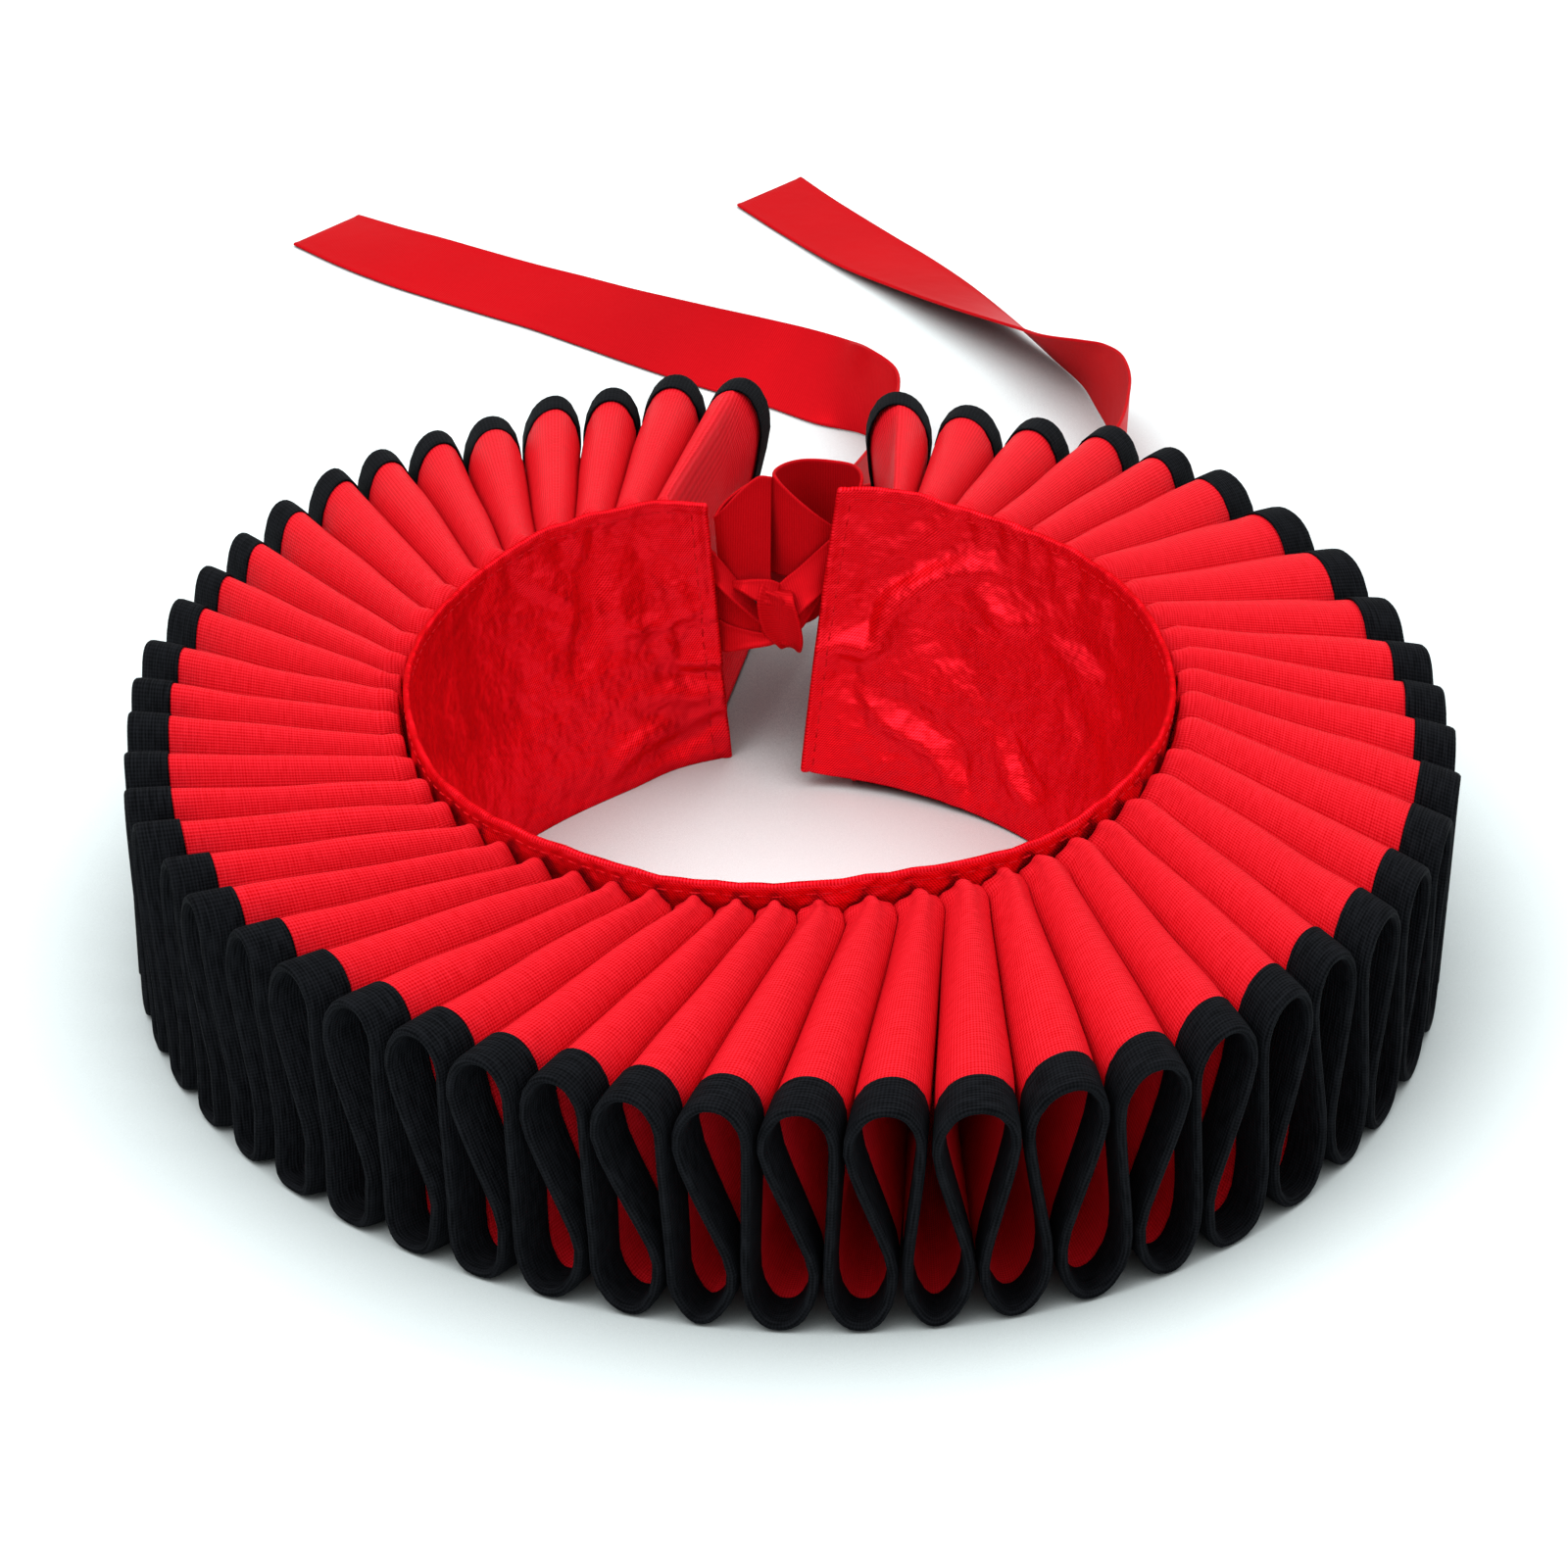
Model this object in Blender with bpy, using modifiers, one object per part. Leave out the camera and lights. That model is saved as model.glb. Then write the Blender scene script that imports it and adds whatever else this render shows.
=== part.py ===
"""Ruff collar: a long strip of cloth set in figure-of-eight flutes round a neckband.

The strip's outer edge is bound in black, the satin neckband stands open at the back,
and a ribbon tie joins its two ends in a small bow with two long tails on the floor.
Metres, +Z up. The wearer's front is -Y, and angles run from the front towards +X.
"""
import math

import bmesh
import bpy

MM = 0.001

# Frill and binding
RIM_RADIUS = 120 * MM
RIM_OVAL = 0.0235          # how far the rim is from round, as a share of its radius
RIM_OVAL_TURN = 22.5       # degrees, direction in which the oval is longest
RIM_FOUR_SIDED = 0.0072    # share of the radius by which four soft corners stand out
CROWN_HEIGHT = 48.0 * MM
CROWN_TILT = 3.2 * MM      # the back stands this much above the sides, the front below
RIM_DROP = 0.2 * MM        # from the binding's seam out to the rim
NECK_CROWN_HEIGHT = 52.8 * MM
KNUCKLE_HEIGHT = 54.6 * MM
KNUCKLE_REACH = 4.5 * MM   # from the neckband out to the highest point of a flute's end
FRILL_WALL = 1.1 * MM
BINDING_WALL = 2.0 * MM
BINDING_WIDTH = 7.4 * MM
SEAM_GAP = 0.3 * MM
RIM_CLEARANCE = 1.45 * MM  # from a touching line to each wall's middle, at the rim
NECK_CLEARANCE = 1.0 * MM
RIM_END_FEET = (-178.0, 172.7)       # degrees, where the strip's two ends stand
NECK_END_FEET = (-168.5, 167.4)
PANEL_FOLDS = (6, 7, 6, 7, 6, 7, 6, 7)

# One flute's section, from the crown down one side: how far towards the place where
# it touches its neighbour, and how high
UPPER_LOOP = {"shoulder": (0.62, 0.95), "bulge": (1.0, 0.77)}
LOWER_LOOP = {"bulge": (1.0, 0.25), "shoulder": (0.80, 0.06), "foot": (0.38, 0.0)}

# A row for each flute, from the left of the back opening round the front to its right:
# where its crown crosses the binding's seam, how far the foot after it leans, where
# its crown meets the neckband, and how far it stands out of the rim
FOLD_COLUMNS = ("crown_deg", "lean_deg", "neck_deg", "reach_mm")
OUTWARD_TURN = 0.1         # share of a flute's slant that it turns on beyond the seam
FOLDS = (
    (-174.4, 1.4, -162.6, 0.5), (-168.4, 1.6, -157.6, 3.0), (-162.6, 1.8, -151.3, 0.0),
    (-157.0, 1.5, -145.0, 0.5), (-150.5, 1.7, -138.6, -2.0), (-144.8, 1.9, -133.0, -1.0),
    (-138.6, 1.4, -127.0, 0.0), (-133.1, 1.6, -120.0, 1.0), (-126.0, 2.0, -112.8, 0.5),
    (-119.4, 1.8, -105.5, 0.0), (-113.0, 1.5, -99.5, 0.0), (-107.0, 1.9, -94.0, 0.0),
    (-99.6, 2.1, -88.8, 0.5), (-93.5, 1.7, -82.5, 0.0), (-88.0, 2.0, -76.3, -0.5),
    (-81.2, 2.3, -69.7, 0.0), (-75.2, 2.4, -63.2, 1.0), (-69.6, 2.8, -56.5, 1.5),
    (-63.8, 3.4, -49.4, -0.5), (-57.6, 3.6, -43.1, 0.5), (-51.4, 3.4, -36.5, -1.5),
    (-44.8, 3.3, -30.2, -1.5), (-37.3, 2.7, -24.3, -1.0), (-30.9, 2.7, -18.5, -1.0),
    (-24.1, 2.2, -12.6, 0.5), (-17.9, 3.2, -6.7, 0.0), (-11.7, 2.3, -1.5, 1.0),
    (-5.1, 1.9, 4.5, 0.5), (1.5, 1.7, 11.6, 0.0), (8.2, 0.8, 18.4, 0.5),
    (14.9, -0.3, 24.7, 2.0), (22.6, -1.2, 31.4, 0.5), (29.4, -1.2, 37.4, 1.5),
    (36.7, -2.1, 44.2, 0.0), (43.7, -0.6, 50.4, 0.0), (49.9, -0.2, 57.2, -1.0),
    (57.6, -1.5, 64.8, -0.5), (64.4, -0.8, 72.3, 0.0), (72.3, 0.0, 80.5, 0.5),
    (79.5, -0.4, 88.0, 0.5), (86.7, -0.2, 94.4, -0.5), (93.3, -0.6, 100.4, -0.5),
    (100.2, 0.2, 106.5, -0.5), (108.3, -0.3, 113.3, -1.5), (117.7, 0.4, 120.6, -0.5),
    (126.7, -0.2, 128.4, 0.0), (135.5, 0.3, 135.0, 1.5), (141.5, -0.4, 141.0, 2.0),
    (148.2, 0.2, 147.4, 2.5), (154.9, 0.3, 153.6, -2.0), (162.1, -0.3, 159.4, -3.0),
    (169.1, 0.0, 164.4, -2.0),
)

# Neckband: a row for each place round the neck where its lean or its width changes
NECK_CENTRE = (-0.6 * MM, -5.8 * MM)
BAND_HEIGHT = 56.5 * MM
BAND_WALL = 1.6 * MM
BAND_FLOOR_GAP = 0.3 * MM
BAND_EDGE_WAVE = 0.5 * MM
BAND_CURVE_STEPS = 4       # pieces between two rows of the table
BAND_TIERS = 5
BAND_COLUMNS = ("top_deg", "foot_deg", "top_mm", "foot_mm", "lift_mm")
BAND = (
    (-167.0, -171.0, 68.5, 70.0, 0.0), (-160.0, -162.0, 71.5, 68.0, 0.0),
    (-150.0, -151.0, 71.5, 64.0, 0.0), (-135.0, -135.0, 70.5, 62.3, 0.0),
    (-110.0, -110.0, 68.5, 62.5, 0.0), (-80.0, -80.0, 68.2, 62.5, 0.0),
    (-45.0, -45.0, 69.5, 62.5, 0.0), (0.0, 0.0, 69.0, 62.0, 0.0),
    (45.0, 45.0, 69.2, 61.5, 0.0), (80.0, 80.0, 69.4, 61.0, 0.0),
    (110.0, 110.0, 70.3, 60.5, 0.0), (135.0, 135.0, 72.5, 59.5, 0.5),
    (150.0, 151.0, 73.0, 58.6, 1.5), (165.0, 170.0, 73.5, 58.5, 2.5),
    (171.7, 176.5, 72.3, 58.4, 3.4),
)

# Ribbon: each row is a line across it, from its lower edge to its upper one, in mm
RIBBON_WALL = 1.0 * MM
RIBBON_COLUMNS = ("low_x", "low_y", "low_z", "high_x", "high_y", "high_z")
LEAD_LEFT = (
    (-12.6, 62.4, 27.0, -13.9, 61.7, 44.0), (-11.0, 61.2, 29.0, -11.4, 61.0, 42.6),
    (-9.0, 60.2, 31.0, -9.0, 60.2, 40.0),
)
LEAD_RIGHT = (
    (5.9, 60.6, 34.0, 7.2, 63.2, 45.0), (3.4, 60.4, 31.0, 4.0, 62.0, 41.6),
    (1.0, 60.0, 28.5, 1.0, 60.4, 40.0),
)
LOOP_LEFT = (
    (-3.6, 65.0, 37.2, -3.4, 70.4, 56.2), (-6.0, 64.8, 37.2, -5.8, 69.6, 56.6),
    (-9.5, 64.8, 37.2, -9.0, 68.4, 54.4), (-12.2, 65.8, 37.6, -12.6, 67.4, 50.6),
    (-13.0, 68.4, 37.6, -13.8, 69.0, 48.6), (-11.6, 71.2, 37.6, -12.0, 71.8, 50.2),
    (-8.4, 72.6, 37.2, -8.6, 73.6, 52.4), (-5.2, 73.0, 37.2, -5.4, 74.4, 53.4),
)
LOOP_RIGHT = (
    (8.9, 66.9, 37.6, 8.8, 67.6, 46.8), (4.6, 66.4, 37.2, 4.5, 67.2, 50.5),
    (0.8, 66.8, 37.2, 0.7, 68.2, 53.6), (-2.4, 68.4, 37.2, -2.2, 69.8, 56.2),
    (-3.0, 71.2, 37.2, -2.6, 72.2, 56.6), (-0.6, 75.0, 37.2, -0.4, 76.0, 56.2),
    (3.2, 78.4, 37.2, 3.2, 79.4, 55.2), (8.2, 79.2, 37.2, 8.2, 80.0, 54.6),
    (12.4, 76.4, 37.6, 12.4, 77.0, 55.2), (13.7, 72.0, 37.6, 13.8, 72.2, 55.4),
    (12.8, 69.0, 37.6, 12.9, 69.0, 53.0),
)
TAIL_LEFT = (
    (-5.5, 64.4, 26.5, -5.5, 64.4, 35.0), (-2.5, 76.0, 21.5, -2.5, 76.0, 35.2),
    (2.0, 92.0, 15.5, 2.0, 92.0, 35.0), (8.0, 112.0, 12.0, 8.0, 112.0, 31.8),
    (13.0, 130.0, 7.0, 13.0, 130.0, 26.8), (18.0, 150.0, 3.0, 18.0, 150.0, 22.9),
    (22.0, 170.0, 0.8, 22.0, 170.0, 20.8), (22.4, 184.0, 0.6, 22.6, 184.3, 20.5),
    (16.3, 194.2, 0.6, 17.2, 195.4, 19.8), (6.0, 199.4, 0.6, 12.8, 210.9, 14.0),
    (-4.1, 207.0, 0.6, 4.8, 219.5, 12.3), (-14.4, 213.5, 0.6, -5.6, 226.7, 11.4),
    (-24.7, 220.4, 0.6, -15.1, 234.1, 10.0), (-35.2, 228.1, 0.6, -24.7, 242.3, 8.3),
    (-45.7, 236.2, 0.6, -34.3, 250.4, 6.7), (-56.3, 244.2, 0.6, -45.5, 259.4, 5.4),
    (-67.2, 251.3, 0.6, -56.5, 266.9, 4.7), (-78.1, 258.5, 0.6, -67.7, 274.4, 4.4),
    (-89.2, 266.2, 0.6, -77.6, 281.5, 4.0), (-100.1, 275.2, 0.6, -87.1, 289.4, 2.8),
    (-111.1, 286.0, 0.6, -97.6, 300.0, 0.9),
)
TAIL_RIGHT = (
    (-1.5, 64.4, 26.5, -1.5, 64.4, 35.0), (1.8, 73.0, 23.0, 1.8, 73.0, 35.2),
    (5.2, 85.0, 18.0, 5.2, 85.0, 35.6), (8.6, 99.0, 14.0, 8.6, 99.0, 33.8),
    (11.8, 112.0, 10.5, 11.8, 112.0, 30.3), (14.5, 123.0, 6.5, 14.5, 123.0, 26.3),
    (22.0, 130.5, 3.0, 22.0, 130.5, 22.9), (35.0, 134.5, 1.0, 35.0, 134.5, 21.0),
    (52.0, 141.0, 0.6, 52.0, 141.0, 20.6), (66.0, 156.0, 0.6, 66.0, 156.0, 20.6),
    (70.0, 178.0, 0.6, 70.7, 177.0, 20.5), (68.5, 194.0, 0.6, 70.0, 189.0, 19.9),
    (65.9, 206.8, 0.6, 66.8, 196.0, 17.0), (63.4, 217.1, 0.6, 62.0, 204.5, 15.5),
    (58.0, 228.9, 0.6, 54.5, 214.5, 13.5), (50.7, 242.7, 1.6, 49.0, 224.5, 10.5),
    (41.0, 261.6, 1.6, 34.7, 243.5, 6.2), (32.1, 276.7, 1.2, 22.7, 259.5, 3.2),
    (23.1, 290.3, 0.7, 10.6, 275.0, 1.2), (10.8, 308.3, 0.6, -1.7, 292.3, 0.6),
    (3.0, 320.8, 0.6, -11.3, 306.4, 0.6),
)
RIBBON_CURVE_STEPS = 2

# Knot: a rounded block between the two band ends
KNOT_SIZE = (9 * MM, 7 * MM, 13 * MM)
KNOT_CENTRE = (-4 * MM, 60 * MM, 34 * MM)
KNOT_ROUNDING = 2.2 * MM

COLOURS = {
    "red_cloth": (0.72, 0.010, 0.020, 0.72),
    "black_binding": (0.010, 0.011, 0.014, 0.65),
    "red_satin": (0.60, 0.006, 0.018, 0.35),
    "red_ribbon": (0.60, 0.010, 0.018, 0.45),
}


def clear_scene():
    for item in list(bpy.data.objects):
        bpy.data.objects.remove(item, do_unlink=True)


def make_material(name):
    red, green, blue, roughness = COLOURS[name]
    material = bpy.data.materials.new(name)
    material.use_nodes = True
    shader = material.node_tree.nodes["Principled BSDF"]
    shader.inputs["Base Color"].default_value = (red, green, blue, 1.0)
    shader.inputs["Roughness"].default_value = roughness
    return material


def add_object(name, mesh, material, collection):
    item = bpy.data.objects.new(name, mesh)
    item.data.materials.append(material)
    collection.objects.link(item)
    return item


def polar(radius, degrees, centre=(0.0, 0.0)):
    turn = math.radians(degrees)
    return centre[0] + radius * math.sin(turn), centre[1] - radius * math.cos(turn)


def mix(start, end, share):
    return start + (end - start) * share


def rim_radius(degrees):
    oval = RIM_OVAL * math.cos(math.radians(2 * (degrees - RIM_OVAL_TURN)))
    corners = RIM_FOUR_SIDED * math.sin(math.radians(4 * degrees))
    return RIM_RADIUS * (1 + oval + corners)


def crown_height(degrees):
    return CROWN_HEIGHT - CROWN_TILT * math.cos(math.radians(degrees))


def smooth_rows(rows, steps):
    """Pass a smooth curve through the rows of a table, column by column."""
    result = []
    last = len(rows) - 1
    for index in range(last):
        before, start = rows[max(index - 1, 0)], rows[index]
        end, after = rows[index + 1], rows[min(index + 2, last)]
        for step in range(steps):
            t = step / steps
            row = []
            for a, b, c, d in zip(before, start, end, after):
                row.append(0.5 * (2 * b + (c - a) * t + (2 * a - 5 * b + 4 * c - d) * t * t
                                  + (3 * b - a - 3 * c + d) * t ** 3))
            result.append(tuple(row))
    result.append(tuple(rows[last]))
    return result


def named_rows(columns, rows):
    return [dict(zip(columns, row)) for row in rows]


BAND_CURVE = named_rows(BAND_COLUMNS, smooth_rows(BAND, BAND_CURVE_STEPS))


def band_radius(degrees, height):
    """Radius of the neckband's middle at an angle round the neck and a height."""
    share = min(max(height / BAND_HEIGHT, 0.0), 1.0)
    angles = [mix(row["foot_deg"], row["top_deg"], share) for row in BAND_CURVE]
    radii = [mix(row["foot_mm"], row["top_mm"], share) * MM for row in BAND_CURVE]
    if degrees <= angles[0]:
        return radii[0]
    for index in range(1, len(angles)):
        if degrees <= angles[index]:
            span = angles[index] - angles[index - 1]
            return mix(radii[index - 1], radii[index], (degrees - angles[index - 1]) / span)
    return radii[-1]


def fold_column(name):
    return [row[FOLD_COLUMNS.index(name)] for row in FOLDS]


def fold_places(crowns, leans, end_feet, clearance_deg):
    """Crown, foot and touching angles of every flute at the rim or at the neck."""
    feet = [end_feet[0]]
    for index in range(len(crowns) - 1):
        feet.append((crowns[index] + crowns[index + 1]) / 2 + leans[index])
    feet.append(end_feet[1])
    touches = [(start + end) / 2 for start, end in zip(crowns, crowns[1:])]
    touches.insert(0, 2 * crowns[0] - touches[0])
    touches.append(2 * crowns[-1] - touches[-1])
    places = []
    for index, crown in enumerate(crowns):
        low = (feet[index] + feet[index + 1]) / 2
        places.append({
            "crown": crown,
            "feet": (feet[index], feet[index + 1]),
            "upper": (touches[index] + clearance_deg, touches[index + 1] - clearance_deg),
            "lower": (low - clearance_deg, low + clearance_deg),
        })
    return places


def half_flute(place, side):
    """Angles and heights from the crown down to the foot on one side of a flute."""
    points = []
    for share, rise in (UPPER_LOOP["shoulder"], UPPER_LOOP["bulge"]):
        points.append((mix(place["crown"], place["upper"][side], share), rise))
    for part in ("bulge", "shoulder", "foot"):
        share, rise = LOWER_LOOP[part]
        points.append((mix(place["feet"][side], place["lower"][side], share), rise))
    return points


def flute_columns(place):
    left = half_flute(place, 0)
    right = half_flute(place, 1)
    return left[::-1] + [(place["crown"], 1.0)] + right


def strip_columns(first, count, places, radius):
    """Columns (angle, rise, flute) of a panel that runs from foot to foot."""
    columns = []
    gap_deg = math.degrees(SEAM_GAP / 2 / radius)
    for index in range(first, first + count):
        for angle, rise in flute_columns(places[index]):
            columns.append((angle, rise, index))
    left_foot = places[first]["feet"][0] + gap_deg
    right_foot = places[first + count - 1]["feet"][1] - gap_deg
    columns.insert(0, (left_foot, 0.0, first))
    columns.append((right_foot, 0.0, first + count - 1))
    return columns


def unit(along, up):
    length = math.hypot(along, up)
    return along / length, up / length


def offset_outline(outline, half_wall, stretches):
    """Move an outline of (along, up) points sideways, keeping the wall's thickness."""
    moved = []
    last = len(outline) - 1
    for index, point in enumerate(outline):
        before, after = outline[max(index - 1, 0)], outline[min(index + 1, last)]
        into = unit(point[0] - before[0], point[1] - before[1]) if index else None
        out = unit(after[0] - point[0], after[1] - point[1]) if index < last else None
        into, out = into or out, out or into
        normal = unit(-into[1] - out[1], into[0] + out[0])
        mitre = max(-normal[0] * out[1] + normal[1] * out[0], 0.6)
        size = half_wall / mitre
        moved.append((point[0] + normal[0] * size * stretches[index],
                      point[1] + normal[1] * size))
    return moved


def ring_side(columns, radius, heights, half_wall, stretches):
    """One face of the pleated wall round a ring: a list of (angle, height)."""
    outline = []
    for angle, rise, index in columns:
        foot = BINDING_WALL / 2
        outline.append((math.radians(angle) * radius, mix(foot, heights[index], rise)))
    moved = offset_outline(outline, half_wall, stretches)
    return [(math.degrees(along / radius), up) for along, up in moved]


def neck_point(angle, height, reach):
    radius = band_radius(angle, height) + BAND_WALL / 2 + reach
    x, y = polar(radius, angle, NECK_CENTRE)
    return x, y, height


def rim_point(angle, height):
    x, y = polar(rim_radius(angle), angle)
    return x, y, height


def push_out(inner, outer, distance):
    """Move an outer point on along its flute, away from an inner one."""
    run = unit(outer[0] - inner[0], outer[1] - inner[1])
    return outer[0] + run[0] * distance, outer[1] + run[1] * distance, outer[2]


def slant_stretches(rim_columns, neck_columns):
    """How much wider a wall is along the ring where its flute runs at a slant."""
    stretches = {"rim": [], "neck": []}
    for (rim_angle, rise, _), (neck_angle, _, _) in zip(rim_columns, neck_columns):
        rim_x, rim_y, _ = rim_point(rim_angle, 0.0)
        neck_x, neck_y, _ = neck_point(neck_angle, BAND_HEIGHT * rise, 0.0)
        run = unit(rim_x - neck_x, rim_y - neck_y)
        for ring, angle in (("rim", rim_angle), ("neck", neck_angle)):
            turn = math.radians(angle)
            stretches[ring].append(1 / (run[0] * math.sin(turn) - run[1] * math.cos(turn)))
    return stretches


RIM_CROWNS = [mix(crown, neck, -OUTWARD_TURN)
              for crown, neck in zip(fold_column("crown_deg"), fold_column("neck_deg"))]
RIM_PLACES = fold_places(RIM_CROWNS, fold_column("lean_deg"), RIM_END_FEET,
                         math.degrees(RIM_CLEARANCE / RIM_RADIUS))
REACHES = fold_column("reach_mm")
NECK_RADIUS = 70 * MM
NECK_PLACES = fold_places(fold_column("neck_deg"), [0.0] * len(FOLDS), NECK_END_FEET,
                          math.degrees(NECK_CLEARANCE / NECK_RADIUS))


def panel_faces(first, count, rim_wall):
    """Points of both faces of a panel: rows at the neck, the knuckle and the rim."""
    rim_columns = strip_columns(first, count, RIM_PLACES, RIM_RADIUS)
    neck_columns = strip_columns(first, count, NECK_PLACES, NECK_RADIUS)
    stretches = slant_stretches(rim_columns, neck_columns)
    rim_heights = [crown_height(place["crown"]) - RIM_DROP - BINDING_WALL / 2
                   for place in RIM_PLACES]
    faces = []
    for side in (1, -1):
        rings = {}
        for ring, top, reach in (("neck", NECK_CROWN_HEIGHT, SEAM_GAP + 0.1 * MM),
                                 ("knuckle", KNUCKLE_HEIGHT, KNUCKLE_REACH)):
            heights = [top - FRILL_WALL / 2] * len(FOLDS)
            line = ring_side(neck_columns, NECK_RADIUS, heights, side * FRILL_WALL / 2,
                             stretches["neck"])
            rings[ring] = [neck_point(angle, up, reach) for angle, up in line]
        line = ring_side(rim_columns, RIM_RADIUS, rim_heights, side * rim_wall / 2,
                         stretches["rim"])
        reaches = [REACHES[index] * MM * rise for _, rise, index in rim_columns]
        rings["rim"] = [push_out(inner, rim_point(angle, up), reach)
                        for inner, (angle, up), reach in zip(rings["knuckle"], line, reaches)]
        rings["drops"] = [RIM_DROP * rise for _, rise, _ in rim_columns]
        faces.append(rings)
    return faces


def seam_row(rings, distance):
    """A row of points that far in from the rim, at the height of the binding's seam."""
    row = []
    for inner, outer, drop in zip(rings["knuckle"], rings["rim"], rings["drops"]):
        share = distance / math.hypot(outer[0] - inner[0], outer[1] - inner[1])
        row.append((mix(outer[0], inner[0], share), mix(outer[1], inner[1], share),
                    outer[2] + drop))
    return row


def cloth_cell(sheet, row, column):
    """Two triangles, parted from the inner row's higher corner to the outer's lower."""
    inner = (sheet[row][column], sheet[row][column + 1])
    outer = (sheet[row + 1][column], sheet[row + 1][column + 1])
    if inner[0].co.z > inner[1].co.z:
        return (inner[0], inner[1], outer[1]), (inner[0], outer[1], outer[0])
    return (inner[0], inner[1], outer[0]), (inner[1], outer[1], outer[0])


def cloth_wall(name, front_rows, back_rows):
    """Closed wall lofted between rows of points on its two faces."""
    shape = bmesh.new()
    sheets = []
    for rows in (front_rows, back_rows):
        sheets.append([[shape.verts.new(point) for point in row] for row in rows])
    front, back = sheets
    row_count, column_count = len(front), len(front[0])
    for row in range(row_count - 1):
        for column in range(column_count - 1):
            for sheet in (front, back):
                for triangle in cloth_cell(sheet, row, column):
                    shape.faces.new(triangle)
        for column in (0, column_count - 1):
            shape.faces.new((front[row][column], front[row + 1][column],
                             back[row + 1][column], back[row][column]))
    for row in (0, row_count - 1):
        for column in range(column_count - 1):
            shape.faces.new((front[row][column], front[row][column + 1],
                             back[row][column + 1], back[row][column]))
    bmesh.ops.recalc_face_normals(shape, faces=shape.faces)
    mesh = bpy.data.meshes.new(name)
    shape.to_mesh(mesh)
    shape.free()
    return mesh


def build_frill_panels(materials, collection):
    """Frill and binding, in panels that meet at the foot of a lower fold."""
    first = 0
    for number, count in enumerate(PANEL_FOLDS, start=1):
        thin = panel_faces(first, count, FRILL_WALL)
        rows = [[rings["neck"], rings["knuckle"], seam_row(rings, BINDING_WIDTH + 1.5 * SEAM_GAP)]
                for rings in thin]
        mesh = cloth_wall("frill_%d" % number, *rows)
        add_object(mesh.name, mesh, materials["red_cloth"], collection)
        thick = panel_faces(first, count, BINDING_WALL)
        rows = [[seam_row(rings, BINDING_WIDTH), rings["rim"]] for rings in thick]
        mesh = cloth_wall("binding_%d" % number, *rows)
        add_object(mesh.name, mesh, materials["black_binding"], collection)
        first += count


def sheet_mesh(name, rows):
    """Open surface through rows of points."""
    vertices = [point for row in rows for point in row]
    width = len(rows[0])
    faces = []
    for row in range(len(rows) - 1):
        for column in range(width - 1):
            corner = row * width + column
            faces.append((corner, corner + 1, corner + width + 1, corner + width))
    mesh = bpy.data.meshes.new(name)
    mesh.from_pydata(vertices, [], faces)
    return mesh


def add_wall(item, thickness):
    solidify = item.modifiers.new("wall", "SOLIDIFY")
    solidify.thickness = thickness
    solidify.offset = 0.0
    solidify.use_even_offset = True


def band_point(row, share):
    angle = mix(row["foot_deg"], row["top_deg"], share)
    x, y = polar(mix(row["foot_mm"], row["top_mm"], share) * MM, angle, NECK_CENTRE)
    foot = row["lift_mm"] * MM + BAND_FLOOR_GAP
    top = BAND_HEIGHT + BAND_EDGE_WAVE * math.sin(math.radians(7 * angle))
    return x, y, mix(foot, top, share)


def build_neckband(materials, collection):
    rows = [[band_point(row, tier / BAND_TIERS) for tier in range(BAND_TIERS + 1)]
            for row in BAND_CURVE]
    band = add_object("neckband", sheet_mesh("neckband", rows), materials["red_satin"],
                      collection)
    add_wall(band, BAND_WALL)


def build_ribbon(name, table, materials, collection):
    rows = []
    for row in named_rows(RIBBON_COLUMNS, smooth_rows(table, RIBBON_CURVE_STEPS)):
        across = []
        for edge in ("low", "high"):
            height = max(row[edge + "_z"] * MM, RIBBON_WALL / 2)
            across.append((row[edge + "_x"] * MM, row[edge + "_y"] * MM, height))
        rows.append(across)
    ribbon = add_object(name, sheet_mesh(name, rows), materials["red_ribbon"], collection)
    add_wall(ribbon, RIBBON_WALL)


def build_knot(materials, collection):
    bpy.ops.mesh.primitive_cube_add(size=1.0, location=KNOT_CENTRE)
    knot = bpy.context.active_object
    knot.name = "bow_knot"
    knot.scale = KNOT_SIZE
    bpy.ops.object.transform_apply(location=False, rotation=False, scale=True)
    for owner in list(knot.users_collection):
        owner.objects.unlink(knot)
    collection.objects.link(knot)
    knot.data.materials.append(materials["red_ribbon"])
    bevel = knot.modifiers.new("rounding", "BEVEL")
    bevel.width = KNOT_ROUNDING
    bevel.segments = 2


def stand_on_origin(collection):
    """Move everything so that the origin is under the middle of the whole part."""
    bpy.context.view_layer.update()
    graph = bpy.context.evaluated_depsgraph_get()
    corners = []
    for item in collection.objects:
        shape = item.evaluated_get(graph)
        mesh = shape.to_mesh()
        corners += [item.matrix_world @ vertex.co for vertex in mesh.vertices]
        shape.to_mesh_clear()
    middle_x = (min(c.x for c in corners) + max(c.x for c in corners)) / 2
    middle_y = (min(c.y for c in corners) + max(c.y for c in corners)) / 2
    lowest = min(c.z for c in corners)
    for item in collection.objects:
        item.location.x -= middle_x
        item.location.y -= middle_y
        item.location.z -= lowest
    bpy.context.view_layer.update()
    print("ring centre at %.5f %.5f %.5f" % (-middle_x, -middle_y, -lowest))


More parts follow.
